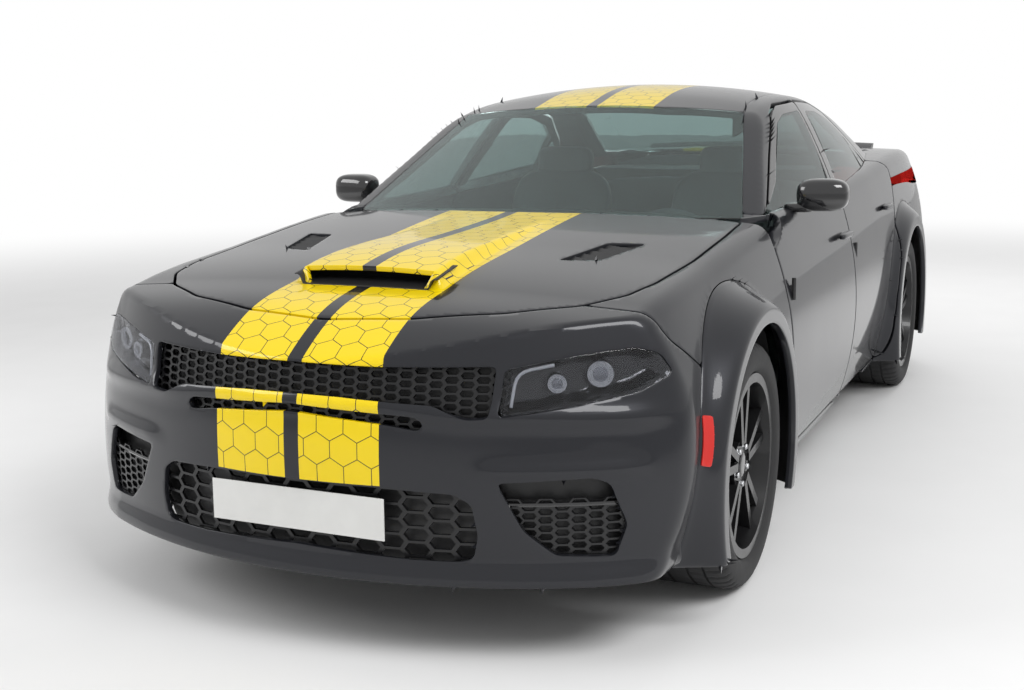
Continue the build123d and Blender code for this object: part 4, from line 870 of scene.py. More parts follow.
def bonnet_top(x, y):
    """The bonnet: the deck, raised over the scoop's dome, which fades out to the rear and to its sides and
    ends in a slanted front."""
    base = deck(x, y)
    grow = step_up(x, 1.15, SCOOP_X - SCOOP_LEAN) * (1 - step_up(x, SCOOP_X - SCOOP_LEAN, SCOOP_X))
    half = SCOOP_HALF - 0.05 * (SCOOP_X - x)
    side = 1 - step_up(np.abs(y), half - 0.020, half + 0.012)
    crown = 0.006 * (1 - (y / SCOOP_HALF) ** 2)
    return base + vectors(0, 0, 1) * ((SCOOP_RISE + crown) * grow * side)[..., None]


def scoop_bed(x, y):
    """The dark bed of the scoop: the deck, turned up at its rear and sides."""
    wall = np.maximum(1 - step_up(x, SCOOP_X - 0.105, SCOOP_X - 0.075), step_up(np.abs(y), 0.195, 0.212))
    return deck(x, y) + vectors(0, 0, 1) * (0.0015 + 0.030 * wall)[..., None]


def vent_bed(x, y):
    """The louvres of a bonnet vent: a bed below the deck whose slats rise like saw teeth."""
    corner_x, corner_y = VENT[0]
    run = (corner_x * MM - x) + (np.abs(y) - corner_y * MM) * 0.25
    tooth = (run / SLAT_PITCH) % 1
    return deck(x, y) - vectors(0, 0, 1) * (SLAT_DEPTH - SLAT_RISE * tooth * (tooth < 0.86))[..., None]


def bumper_skin(turn, lift):
    """The front bumper: the nose with a bell-shaped bar over the slot that runs out under the lamps, another
    over the ducts, and a lip at the chin."""
    base = nose(turn, lift)
    y, z = np.abs(base[..., 1]), base[..., 2]
    bar_z = 0.678 - 0.024 * step_up(y, 0.20, 0.48) - 0.012 * step_up(y, 0.5, 0.85)
    bar = 0.012 * np.exp(-((z - bar_z) / 0.026) ** 2) * (1 - step_up(y, 0.80, 0.93))
    chin = 0.020 * (1 - step_up(z, 0.225, 0.285)) * (1 - 0.4 * step_up(y, 0.80, 0.93))
    brow = 0.008 * np.exp(-((z - 0.515) / 0.020) ** 2) * step_up(y, 0.45, 0.56) * (1 - step_up(y, 0.80, 0.88))
    out = vectors(np.cos(turn), np.sin(turn), 0 * turn)
    return base + out * (bar + chin + brow)[..., None]


def flare_skin(axle):
    """The wide flare about an axle line, by radius and angle: a flat face that falls to the body in a soft
    step."""
    def surface(r, angle):
        """The body's half width at the point that radius and angle reach."""
        x, z = axle + r * np.cos(angle), ARCH_Z + r * np.sin(angle)
        return vectors(x, flared_half(x, z), z)
    return surface


def merged(*rows):
    """Several rows of values as one sorted row, without near repeats."""
    values = np.sort(np.concatenate(rows))
    return values[np.concatenate([[True], np.diff(values) > 0.0012])]


def out_of_house(p):
    """Positive outside the glasshouse."""
    return -in_house(p[..., 0], p[..., 1], p[..., 2])


def out_of_body(p):
    """Positive outside the lower body without its flares."""
    return np.abs(p[..., 1]) - body_half(p[..., 0], p[..., 2])


def ahead_of(x):
    """Positive ahead of x."""
    return lambda p: p[..., 0] - x


def above(z):
    """Positive above z."""
    return lambda p: p[..., 2] - z


def behind_of(x):
    """Positive behind x."""
    return lambda p: x - p[..., 0]


def bodies(body):
    """The names of a body on the left and on the right, or the root twice."""
    return (body, body) if body == "root" else (body + "_left", body + "_right")


def pair(name, *args, body="root", **more):
    """A left panel and its mirror image, on the bodies of their own sides."""
    left, right = bodies(body)
    made = panel(name + "_left", *args, left, **more)
    return made, mirrored_piece(made, name + "_right", right)


def stand_for(name):
    """A left and a right piece stand for the nodes of a name on their own sides."""
    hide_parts(name + "_left")
    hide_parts(name + "_right")


def painted(inner="satin", finish="paint"):
    """A panel's two materials: outside and inside."""
    return [FINISHES[finish], FINISHES[inner]]


def loft(name, rings, materials, slot, body, round_again=False, sharp=38.0):
    """A closed piece through closed rings of points: capped at both ends, or joined to its first ring
    again."""
    n, m = rings.shape[:2]
    index = np.arange(n * m).reshape(n, m)
    if round_again:
        index = np.concatenate([index, index[:1]])
    turn = np.roll(index, -1, 1)
    quads = np.stack([index[:-1], turn[:-1], turn[1:], index[1:]], -1).reshape(-1, 4)
    faces = [quads] if round_again else [quads, index[:1, ::-1], index[-1:]]
    points = rings.reshape(-1, 3)
    a, b, c, d = (points[quads[:, k]] - points.mean(0) for k in range(4))
    if (np.cross(c - a, d - b) * (a + b + c + d)).sum() < 0:
        faces = [block[:, ::-1] for block in faces]
    return new_piece(name, points, faces, materials, body, slot, sharp=sharp)


def tube(name, path, radius, materials, slot, body, sides=10, flat=1.0):
    """A bar along a path of points: a ring about each, across its direction, flat times as high as wide."""
    path = np.array(path, float)
    ahead = np.gradient(path, axis=0)
    ahead /= np.linalg.norm(ahead, axis=1, keepdims=True)
    side = np.cross(ahead, (0, 0, 1.0))
    side /= np.maximum(np.linalg.norm(side, axis=1, keepdims=True), 1e-9)
    top = np.cross(side, ahead)
    a = np.linspace(0, 2 * pi, sides, endpoint=False)[None, :, None]
    radius = np.broadcast_to(radius, len(path))[:, None, None]
    rings = path[:, None] + radius * (np.cos(a) * side[:, None] + flat * np.sin(a) * top[:, None])
    return loft(name, rings, materials, slot, body)


def rounded(centre, size, blunt=0.5, lean=0.0, steps=(48, 22)):
    """Rings of a rounded block: half the size times sgn(c)|c|^blunt of a sphere's cosines and sines, leaned
    back about the axis across the car."""
    u = np.linspace(0, 2 * pi, steps[0], endpoint=False)[None, :]
    v = np.linspace(-pi / 2 + 0.06, pi / 2 - 0.06, steps[1])[:, None]
    cos_u, sin_u, cos_v, sin_v = (np.sign(c) * np.abs(c) ** blunt
                                  for c in (np.cos(u), np.sin(u), np.cos(v), np.sin(v)))
    block = vectors(cos_v * cos_u, cos_v * sin_u, sin_v + 0 * u) * np.array(size) / 2
    x, z = block[..., 0].copy(), block[..., 2].copy()
    block[..., 0], block[..., 2] = x * cos(lean) - z * sin(lean), x * sin(lean) + z * cos(lean)
    return block + np.array(centre)


def turned(profile, place, axis, steps=48):
    """Rings of a turned piece: rows of (distance along the axis, radius) about a place."""
    axis = np.array(axis, float) / np.linalg.norm(axis)
    side = np.cross(axis, (0, 0, 1.0))
    side /= np.linalg.norm(side)
    top = np.cross(side, axis)
    a = np.linspace(0, 2 * pi, steps, endpoint=False)[None, :, None]
    reach, radius = (np.array(column)[:, None, None] for column in zip(*profile))
    return np.array(place) + reach * axis + radius * (np.cos(a) * side + np.sin(a) * top)


def both_sides(name, rings, materials, slot, body="root", **more):
    """A left loft and its mirror image, on the bodies of their own sides."""
    left, right = bodies(body)
    made = loft(name + "_left", rings, materials, slot, left, **more)
    return made, mirrored_piece(made, name + "_right", right)


def front_wall(depth):
    """The front of the body at (y, z), by level rays, set back by a depth."""
    def surface(y, z):
        """Where the ray at (y, z) leaves the body, less the depth."""
        return cast(in_body, vectors(1.6, y, z), vectors(1, 0, 0), 1.2) - vectors(depth, 0, 0)
    return surface


def hex_net_sheet(name, test, low, high, size, bar):
    """A pierced sheet of hexagons behind an opening. Cells lie in columns a(1 + NET_FLAT) apart, every second
    one shifted by half a cell, and each is a ring between its border and a smaller hexagon."""
    a, b = size[0] / 2, size[1] / 2
    ring = np.array([(a, 0), (a * NET_FLAT, b), (-a * NET_FLAT, b), (-a, 0), (-a * NET_FLAT, -b),
                     (a * NET_FLAT, -b)])
    pitch = a * (1 + NET_FLAT)
    columns = np.arange(np.floor(low[0] / pitch), high[0] / pitch + 1)
    rows = np.arange(np.floor(low[1] / (2 * b)), high[1] / (2 * b) + 1)
    c, r = np.meshgrid(columns, rows, indexing="ij")
    centres = np.stack([c * pitch, (2 * r + c % 2) * b], -1).reshape(-1, 2)
    centres = centres[test(front_wall(0)(centres[:, 0], centres[:, 1])) > -0.7 * a]
    outer = centres[:, None] + ring
    inner = (centres[:, None] + ring * (1 - bar / b)).reshape(-1, 2)
    keys = np.round(outer.reshape(-1, 2) * NET_GRID).astype(int)
    keys, border = np.unique(keys, axis=0, return_inverse=True)
    border = border.reshape(-1, 6)
    flat_points = np.concatenate([keys / NET_GRID, inner])
    hole = len(keys) + np.arange(len(inner)).reshape(-1, 6)
    front = front_wall(NET_DEPTH)(flat_points[:, 0], flat_points[:, 1])
    points = np.concatenate([front, front - (NET_WALL, 0, 0)])
    back, n = len(flat_points), len(points)
    border_on, hole_on = np.roll(border, -1, 1), np.roll(hole, -1, 1)
    face = np.stack([border, border_on, hole_on, hole], -1).reshape(-1, 4)
    wall = np.stack([hole, hole_on, hole_on + back, hole + back], -1).reshape(-1, 4)
    edges = np.stack([border, border_on], -1).reshape(-1, 2)
    free = edges[~np.isin(edges[:, 0] * n + edges[:, 1], edges[:, 1] * n + edges[:, 0])]
    rim = np.stack([free[:, 1], free[:, 0], free[:, 0] + back, free[:, 1] + back], 1)
    faces = [face, wall, face[:, ::-1] + back, rim]
    p = points[face]
    if np.cross(p[:, 2] - p[:, 0], p[:, 3] - p[:, 1])[:, 0].sum() < 0:
        faces = [block[:, ::-1] for block in faces]
    return new_piece(name, points, faces, [FINISHES["grille"]], "root", "grille", sharp=30.0)


def grown(test, by):
    """A test whose region is wider all round."""
    return lambda p: test(p) + by


def make_grilles():
    """Nets of hexagons in the openings of the nose, before dark backing sheets that are painted shade for the
    hollows behind them.
    """
    nets = [
        hex_net_sheet(name, line, low, high, cell, bar)
        for name, line, low, high, cell, bar in [
            # Columns: name, outline, lower corner, upper corner, cell, half a bar
            ("grille_net", front_of(GRILLE), (-0.56, 0.63), (0.56, 0.79), SMALL_CELL, 0.0026),
            ("slot_net", front_of(SLOT), (-0.40, 0.60), (0.40, 0.68), SMALL_CELL, 0.0026),
            ("intake_net", front_of(INTAKE), (-0.52, 0.26), (0.52, 0.49), LARGE_CELL, 0.0034),
            ("duct_net_left", left_front_of(DUCT), (0.50, 0.27), (0.84, 0.41), SMALL_CELL, 0.0026),
        ]
    ]
    mirrored_piece(nets[-1], "duct_net_right", "root")
    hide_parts("grilles")
    # Dark sheets set back behind the openings: painted shade in the hollows behind the nets.
    shade_backings = [
        panel(name, front_wall(SHADE_BACKING_DEPTH), spaced(*y, 0.012), spaced(*z, 0.010), grown(line, wider),
              LINING, [FINISHES["satin"]], "grille", "root")
        for name, line, wider, y, z in [
            # Columns: name, outline, how much wider, reach across, reach up
            ("grille_shade_backing", front_of(GRILLE), 0.030, (-0.59, 0.59), (0.61, 0.81)),
            ("slot_shade_backing", front_of(SLOT), 0.010, (-0.40, 0.40), (0.60, 0.69)),
            ("intake_shade_backing", front_of(INTAKE), 0.045, (-0.57, 0.57), (0.24, 0.52)),
            ("duct_lining_left", left_front_of(DUCT), 0.030, (0.46, 0.87), (0.25, 0.53)),
        ]
    ]
    mirrored_piece(shade_backings[-1], "duct_shade_backing_right", "root")
    y = np.linspace(0.500, 0.835, 30)
    ledge = front_wall(0.030)(y, 0.424 + 0 * y)
    left = tube("duct_ledge_left", ledge, 0.011, [FINISHES["gloss"]], "grille", "root", flat=0.7)
    mirrored_piece(left, "duct_ledge_right", "root")


def lamp_room(turn, lift):
    """The dark housing behind a headlamp's cover: the nose, set in by LAMP_INSET, and sunk inside the lamp's
    outline by LAMP_SLOPE times the distance from it, down to LAMP_SUNK."""
    base = nose(turn, lift)
    sunk = np.clip(left_front_of(LAMP)(base) * LAMP_SLOPE, 0, LAMP_SUNK)
    return base - vectors(np.cos(turn), np.sin(turn), 0 * turn) * (LAMP_INSET + sunk)[..., None]


def make_headlamps():
    """Headlamps: clear covers over dark housings, with a projector, a small lamp and a light strip."""
    turn, lift = spaced(0.50, 1.20, 0.007), spaced(0.08, 0.40, 0.006)
    line = left_front_of(LAMP)
    cover = pair("lamp_cover", nose, turn, lift, line, LAMP_WALL, [FINISHES["lens"]], "lamp_dark")
    pair("lamp_housing", lamp_room, turn, lift, grown(line, 0.002), LAMP_WALL, [FINISHES["gloss"]],
         "lamp_dark")
    stand_for("headlamp")
    facing = (cos(LAMP_TURN), sin(LAMP_TURN), 0)
    for name, y, z, radius in [
        # Columns: name, across, up, radius
        ("projector", 0.745, 0.745, 0.031),
        ("small_lamp", 0.655, 0.726, 0.022),
    ]:
        spot = front_wall(0)(np.array([y]), np.array([z]))[0]
        # Columns of both: place along the lamp's axis, radius
        bezel = [(-0.045, radius + 0.004), (-0.016, radius + 0.004), (-0.013, radius + 0.002),
                 (-0.013, radius)]
        dome = [(-0.034, radius)]
        dome += [(-0.030 + 0.022 * sin(t), radius * cos(t)) for t in np.linspace(0, 1.45, 9)]
        both_sides(name + "_bezel", turned(bezel, spot, facing), [FINISHES["silver"]], "lamp_dark")
        both_sides(name, turned(dome, spot, facing), [FINISHES["lens"]], "lamp_dark")
    path = outline(LIGHT_STRIP, 30)
    path = path[:len(path) // 2]
    strip = front_wall(0.014)(path[:, 0], path[:, 1])
    left = tube("light_strip_left", strip, 0.0045, [FINISHES["strip"]], "lamp_dark", "root")
    mirrored_piece(left, "light_strip_right", "root")


def tyre_rings(x):
    """Rings of a tyre: its section turned about the hub, less GROOVE_DEPTH in the grooves all round and, at
    every fifth angle, across the shoulders, with shallower cuts across the ribs between."""
    rows = [(r, w, 0) for r, w in TYRE_WALL] + [(TREAD_R, w, g) for w, g in TREAD]
    r, w, groove = np.array(rows + [(r, -w, g) for r, w, g in reversed(rows)]).T
    a = np.linspace(0, 2 * pi, TREAD_STEPS, endpoint=False)[:, None]
    phase = np.arange(TREAD_STEPS)[:, None] % 5
    shoulder = np.clip((np.abs(w) - 84) / 10, 0, 1) * (r > 350)
    rib = (np.abs(w) < 60) * (np.abs(w) > 34) * 0.6
    cut = np.maximum(np.maximum(groove, (phase == 0) * shoulder), (phase == 2) * rib)
    reach = (r - GROOVE_DEPTH * cut) * MM
    return vectors(x + reach * np.cos(a), HALF_TRACK + w * MM + 0 * a, HUB_Z + reach * np.sin(a))


def make_wheels():
    """Tyres with their tread, brake discs, caps and nuts."""
    across = (0, 1, 0)
    for end, x in (("front", FRONT_X), ("rear", REAR_X)):
        body, hub = f"wheel_{end}", (x, HALF_TRACK, HUB_Z)
        tyres = both_sides(f"tyre_tread_{end}", tyre_rings(x), [FINISHES["rubber"]], "rubber", body=body,
                           round_again=True)
        stand_for(f"tyre_{end}")
        both_sides(f"brake_disc_{end}", turned(DISC, hub, across, 96), [FINISHES["silver"]], "iron",
                   body=body, round_again=True)
        both_sides(f"hub_cap_{end}", turned(CAP, hub, across), [FINISHES["gloss"]], "rim", body=body)
        for k in range(NUTS):
            turn = radians(126 + 360 / NUTS * k)
            at = (x + NUT_CIRCLE * cos(turn), HALF_TRACK, HUB_Z + NUT_CIRCLE * sin(turn))
            both_sides(f"nut_{end}_{k}", turned(NUT, at, across, 6), [FINISHES["silver"]], "rim", body=body)


def make_mirrors():
    """Mirror heads that taper outwards, with their feet and panes."""
    x, y, z = MIRROR
    head = rounded(MIRROR, MIRROR_SIZE, 0.62)
    taper = 1 - 0.16 * (head[..., 1] - y) / (MIRROR_SIZE[1] / 2)
    head[..., 0] = x + (head[..., 0] - x) * taper
    head[..., 2] = z - 0.006 + (head[..., 2] - z) * (0.92 + 0.08 * taper)
    heads = both_sides("mirror_head", head, [FINISHES["gloss"]], "gloss_black", body="door_front")
    stand_for("mirror")
    for name, centre, size, blunt, finish in [
        # Columns: name, centre, size, bluntness, finish
        ("mirror_foot", (0.560, 0.862, 1.026), (0.076, 0.110, 0.034), 0.6, "gloss"),
        ("mirror_pane", (0.4885, 0.938, 1.072), (0.008, 0.142, 0.084), 0.5, "silver"),
    ]:
        both_sides(name, rounded(centre, size, blunt), [FINISHES[finish]], "gloss_black", body="door_front")


def make_handles():
    """Door handles: rounded bars."""
    for end, x, z in (("front", 0.030, 0.878), ("rear", -0.985, 0.909)):
        bar = rounded((x, 0.931, z), (0.190, 0.030, 0.026), 0.6)
        both_sides(f"handle_{end}", bar, painted()[:1], "paint", body=f"door_{end}")


def glass_edge(depth):
    """The glasshouse set in by a depth, by the rays of house."""
    def surface(x, a):
        """The glasshouse at station x and angle a, moved back along its ray."""
        return house(x, a) - vectors(0 * a, np.sin(a), np.cos(a)) * depth
    return surface


def make_screen_trim():
    """The windscreen's dark border and its wipers, each a thinning bar that bows back over the glass."""
    screen = plan_of(SCREEN)
    keep = inside_of(screen, lambda p: 0.040 + 0.05 * step_up(p[..., 0], 0.9, 1.15) - screen(p))
    panel("screen_border", glass_edge(0.0085), spaced(0.22, 1.20, 0.010), spaced(-0.95, 0.95, 0.014), keep,
          0.001, [FINISHES["border"]], "grille", "root")
    for name, y_pivot, y_tip in (("wiper_a", 0.52, -0.02), ("wiper_b", -0.05, -0.60)):
        t = np.linspace(0, 1, 24)
        y = y_pivot + (y_tip - y_pivot) * t
        x = WIPER_X - WIPER_BOW * (y / 0.75) ** 2 - WIPER_LEAN * t
        line = cast(in_house, vectors(x, y, 0.80), vectors(0, 0, 1), 0.8) + vectors(0, 0, 0.016 - 0.008 * t)
        tube(name, line, 0.0065 - 0.003 * t, [FINISHES["satin"]], "grille", "root", flat=0.8)


def make_markers():
    """Red side markers, standing a little proud of the front flares."""
    def lens(x, z):
        """The body's side, 4 mm out."""
        return side_wall(x, z) + vectors(0, 0.004, 0)

    pair("side_marker", lens, spaced(2.02, 2.11, 0.003), spaced(0.46, 0.63, 0.004), side_of(MARKER, 6), 0.004,
         [FINISHES["red"]], "lamp_red", soft=0.001)


def make_lip():
    """The lip of the boot lid: one profile carried across it, drawn forward and down by y squared."""
    line = outline(LIP, 7, 4)
    y = np.linspace(-0.628, 0.628, 81)[:, None]
    share = (y / 0.63) ** 2
    rings = vectors(line[:, 0] + LIP_PULL * share, y + 0 * line[:, 0], line[:, 1] - LIP_DROP * share)
    loft("boot_lip", rings, painted(), "paint", "trunk_lid")


def make_seats():
    """Front seats and rear bench: crowned pads, each its own piece."""
    pads = []
    for name, centre, size, lean in [
        # Columns: name, centre, size, lean back
        ("cushion", (0.200, 0.370, 0.412), (0.540, 0.470, 0.150), 0.10),
        ("back", (-0.235, 0.370, 0.780), (0.130, 0.460, 0.660), 0.33),
        ("head_rest", (-0.345, 0.370, 1.125), (0.085, 0.250, 0.150), 0.20),
    ]:
        pads += both_sides("front_" + name, rounded(centre, size, 0.42, lean), [FINISHES["leather"]], "trim")
    for name, centre, size, lean in [
        # Columns: name, centre, size, lean back
        ("bench_cushion", (-0.900, 0, 0.440), (0.500, 1.150, 0.150), 0.06),
        ("bench_back", (-1.165, 0, 0.760), (0.120, 1.150, 0.520), 0.32),
    ]:
        pads.append(loft(name, rounded(centre, size, 0.36, lean), [FINISHES["leather"]], "trim", "root"))
    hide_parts("front_seats")
    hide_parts("rear_bench")


def make_bonnet():
    """Bonnet with its scoop's dome, the scoop's dark bed and the louvred vents."""
    keep = inside_of(plan_of(HOOD), outside_of(plan_of(SCOOP_MOUTH, 6)), outside_of(left_plan_of(VENT, 12)))
    x = merged(spaced(1.00, 2.10, 0.014), spaced(2.10, 2.16, 0.004), spaced(2.16, 2.40, 0.014))
    half = merged(spaced(0, 0.18, 0.014), spaced(0.18, 0.25, 0.005), spaced(0.25, 0.80, 0.014))
    skin = panel("bonnet", bonnet_top, x, merged(half, -half), keep, SKIN, painted(finish="striped"), "paint",
                 "hood")
    lay_stripes(skin)
    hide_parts("hood")
    panel("scoop_bed", scoop_bed, spaced(2.02, 2.15, 0.008), spaced(-0.225, 0.225, 0.009),
          lambda p: 0 * p[..., 0] + 1, LINING, painted(finish="satin"), "grille", "hood")
    left = panel("vent_left", vent_bed, spaced(1.45, 1.79, 0.0035), spaced(0.40, 0.61, 0.012),
                 left_plan_of(VENT_BED, 12), LINING, painted(finish="satin"), "grille", "hood")
    mirrored_piece(left, "vent_right", "hood")


def flares(name, axle, *tests, body="root"):
    """The flares about an axle line, where the tests are positive, down to their lower ends."""
    pair(name, flare_skin(axle), spaced(ARCH_R, FLARE_R + 0.001, 0.006),
         spaced(-FLARE_SWEEP, pi + FLARE_SWEEP, 0.026), inside_of(above(FLARE_LOW), *tests), FLARE_WALL,
         painted(), "paint", body=body, soft=FLARE_EDGE)


def make_front():
    """Front bumper, front wings and their flares."""
    openings = [outside_of(front_of(line)) for line in (GRILLE, SLOT, INTAKE)]
    ducts = [outside_of(left_front_of(line)) for line in (DUCT, LAMP)]
    off_flare = off_axle(FRONT_X, FLARE_R + FLARE_GAP)
    keep = inside_of(side_of(BUMPER), outside_of(plan_of(HOOD), SHUT_GAP), off_flare, above(0.215), *openings,
                     *ducts)
    turn = spaced(0, 1.42, 0.0105)
    skin = panel("front_skin", bumper_skin, merged(-turn, turn), spaced(-0.34, 0.66, 0.0095), keep, SKIN,
                 painted(finish="striped"), "paint", "root")
    lay_stripes(skin)
    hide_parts("front_bumper")
    keep = inside_of(ahead_of(WING_REAR), outside_of(side_of(BUMPER), 0.004),
                     outside_of(plan_of(HOOD), SHUT_GAP), off_flare, outside_of(left_front_of(LAMP)),
                     outside_of(plan_of(SCREEN)), above(0.19))
    wings = pair("fender_skin", flank, spaced(1.0, 2.30, 0.013), spaced(-0.80, 1.50, 0.028), keep, SKIN,
                 painted(), "paint")
    flares("front_flare", FRONT_X)
    stand_for("fender")


def make_doors():
    """Door skins, window frames and the rear doors' share of the flares."""
    for name, line, windows, low, high in [
        # Columns: name, outline, windows, first x, last x
        ("door_front", FRONT_DOOR, [FRONT_GLASS], -0.32, 1.01),
        ("door_rear", REAR_DOOR, [REAR_GLASS, QUARTER_GLASS], -1.32, -0.12),
    ]:
        edge = side_of(line, 20)
        keep = inside_of(edge, out_of_house, off_axle(REAR_X, FLARE_R + 0.002))
        skins = pair(name + "_skin", flank, spaced(low, high, 0.013), spaced(-0.80, 1.30, 0.025), keep,
                     DOOR_SKIN, painted("trim"), "paint", body=name)
        keep = inside_of(edge, out_of_body, *[outside_of(side_of(window, 18)) for window in windows])
        pair(name + "_frame", house, spaced(low, high, 0.010), spaced(0.60, 1.45, 0.010), keep, FRAME_WALL,
             painted("trim", "gloss"), "gloss_black", body=name)
        stand_for(name)
    flares("door_flare", REAR_X, side_of(REAR_DOOR, 20), body="door_rear")


def make_sides():
    """Sills, quarters, pillars and cant rails."""
    doors = [outside_of(side_of(line, 20), SHUT_GAP) for line in (FRONT_DOOR, REAR_DOOR)]
    glass = [outside_of(plan_of(line)) for line in (SCREEN, REAR_LIGHT)]
    off_lid = outside_of(plan_of(LID), SHUT_GAP)
    keep = inside_of(behind_of(SIDE_FRONT), *doors, *glass, out_of_house,
                     off_axle(REAR_X, FLARE_R + FLARE_GAP), outside_of(side_of(REAR_BUMPER), 0.004), off_lid,
                     outside_of(left_front_of(TAIL_LAMP)), above(0.181))
    lower = pair("side_skin", flank, spaced(-2.45, 1.01, 0.013), spaced(-0.85, 1.50, 0.026), keep, SIDE_SKIN,
                 painted("trim"), "paint")
    keep = inside_of(behind_of(SIDE_FRONT), *doors, *glass, out_of_body, outside_of(plan_of(ROOF_EDGE)),
                     off_lid)
    pair("pillar_skin", house, spaced(-2.10, 1.01, 0.011), spaced(0.55, 1.52, 0.012), keep, PILLAR_SKIN,
         painted("trim"), "paint")
    flares("rear_flare", REAR_X, outside_of(side_of(REAR_DOOR, 20), SHUT_GAP))
    stand_for("body_side")


def make_roof():
    """Roof skin with its stripes."""
    skin = panel("roof_skin", house, spaced(-1.02, 0.36, 0.014), spaced(-0.95, 0.95, 0.020),
                 plan_of(ROOF_EDGE), ROOF_SKIN, painted("trim", "striped"), "paint", "root")
    lay_stripes(skin)
    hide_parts("roof_panel")


def make_tail():
    """Boot lid and rear bumper."""
    keep = inside_of(plan_of(LID), above(0.868), outside_of(front_of(LID_LAMP)))
    turn = spaced(0, 1.50, 0.0115)
    lid = panel("lid_skin", tail, merged(-turn, turn), spaced(0.18, 1.36, 0.011), keep, SKIN,
                painted(finish="striped"), "paint", "trunk_lid")
    lay_stripes(lid)
    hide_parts("trunk_lid")
    keep = inside_of(side_of(REAR_BUMPER), off_axle(REAR_X, FLARE_R + FLARE_GAP), off_pipe, above(0.19),
                     outside_of(front_of(PLATE_BAY)))
    turn = spaced(0, 1.50, 0.012)
    rear = panel("rear_skin", tail, merged(-turn, turn), spaced(-0.42, 0.36, 0.011), keep, SKIN, painted(),
                 "paint", "root")
    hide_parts("rear_bumper")


def make_camera():
    """The camera at the photograph's angle."""
    turn, tilt, roll = (radians(angle) for angle in CAMERA_ANGLES)
    ahead = Vector((-cos(tilt) * cos(turn), -cos(tilt) * sin(turn), -sin(tilt)))
    level = ahead.cross(Vector((0, 0, 1))).normalized()
    up = level.cross(ahead)
    right = level * cos(roll) + up * sin(roll)
    top = up * cos(roll) - level * sin(roll)
    data = bpy.data.cameras.new("photo_camera")
    data.sensor_width, data.lens = 36, CAMERA_LENS
    data.shift_x, data.shift_y = CAMERA_SHIFT
    camera = bpy.data.objects.new("photo_camera", data)
    camera.matrix_world = Matrix.Translation(CAMERA_EYE) @ Matrix((right, top, -ahead)).transposed().to_4x4()
    bpy.context.scene.collection.objects.link(camera)
    bpy.context.scene.camera = camera


def make_floor():
    """A pale floor, which fades to white far from the car where the camera sees it."""
    half = FLOOR_HALF
    mesh = bpy.data.meshes.new("floor")
    mesh.from_pydata([(-half, -half, 0), (half, -half, 0), (half, half, 0), (-half, half, 0)], [],
                     [(0, 1, 2, 3)])
    floor = bpy.data.objects.new("floor", mesh)
    bpy.context.scene.collection.objects.link(floor)
    shade = Shade("studio_floor", Roughness=0.9)
    shade.set("Base Color", shade.mix(shade.noise(3), (0.80, 0.80, 0.80), (0.84, 0.84, 0.84)))
    far = shade.node("ShaderNodeVectorMath", operation="LENGTH")
    shade.feed(far.inputs[0], shade.place)
    fade = shade.node("ShaderNodeMapRange", interpolation_type="SMOOTHSTEP")
    shade.feed(fade.inputs["Value"], far.outputs["Value"])
    fade.inputs["From Min"].default_value, fade.inputs["From Max"].default_value = FLOOR_FADE
    glow = shade.node("ShaderNodeEmission")
    joined = shade.node("ShaderNodeMixShader")
    seen = shade.node("ShaderNodeLightPath").outputs["Is Camera Ray"]
    shade.feed(joined.inputs[0], shade.math("MULTIPLY", fade.outputs[0], seen))
    shade.feed(joined.inputs[1], shade.shader.outputs[0])
    shade.feed(joined.inputs[2], glow.outputs[0])
    shade.feed(shade.tree.nodes["Material Output"].inputs["Surface"], joined.outputs[0])
    mesh.materials.append(shade.item)


def make_world():
    """A world that is white to the camera and through glass, dimmer in reflections and as light."""
    look = bpy.context.scene.muscle_car
    world = bpy.data.worlds.new("studio")
    bpy.context.scene.world = world
    world.use_nodes = True
    tree = world.node_tree
    rays = tree.nodes.new("ShaderNodeLightPath").outputs

    def joined(operation, a, b):
        """The output of a Math node fed by a socket and a socket or number."""
        made = tree.nodes.new("ShaderNodeMath")
        made.operation = operation
        for socket, value in zip(made.inputs, (a, b)):
            if isinstance(value, bpy.types.NodeSocket):
                tree.links.new(value, socket)
            else:
                socket.default_value = value
        return made.outputs[0]

    seen = joined("MAXIMUM", rays["Is Camera Ray"], rays["Is Transmission Ray"])
    mirrored = joined("MULTIPLY", rays["Is Glossy Ray"], look.mirrored_level)
    level = tree.nodes.new("ShaderNodeMapRange")
    level.inputs["To Min"].default_value = look.studio_level
    level.inputs["To Max"].default_value = 1.0
    tree.links.new(joined("MAXIMUM", seen, mirrored), level.inputs["Value"])
    back = tree.nodes["Background"]
    tree.links.new(level.outputs[0], back.inputs["Strength"])
    back.inputs["Color"].default_value = (1, 1, 1, 1)


def make_stage():
    """The camera, the floor, the world and the soft lamps."""
    bpy.context.scene.view_settings.view_transform = "Standard"
    make_camera()
    make_floor()
    make_world()
    for name, place, aim, width, height, watts in [
        # Columns: name, place, aimed at, width, height, watts
        ("key", (3.5, 4.5, 5.0), (0.6, 0, 0.5), 4.0, 2.5, 260),
        ("fill", (4.5, -4.5, 3.5), (0.6, 0, 0.5), 4.0, 2.5, 140),
        ("back", (-5.5, 1.0, 4.5), (-0.5, 0, 0.6), 5.0, 2.5, 160),
    ]:
        lamp = bpy.data.lights.new(name, "AREA")
        lamp.shape, lamp.size, lamp.size_y, lamp.energy = "RECTANGLE", width, height, watts
        obj = bpy.data.objects.new(name, lamp)
        facing = (Vector(aim) - Vector(place)).to_track_quat("-Z", "Y").to_matrix().to_4x4()
        obj.matrix_world = Matrix.Translation(place) @ facing
        obj.visible_glossy = name != "back"
        bpy.context.scene.collection.objects.link(obj)


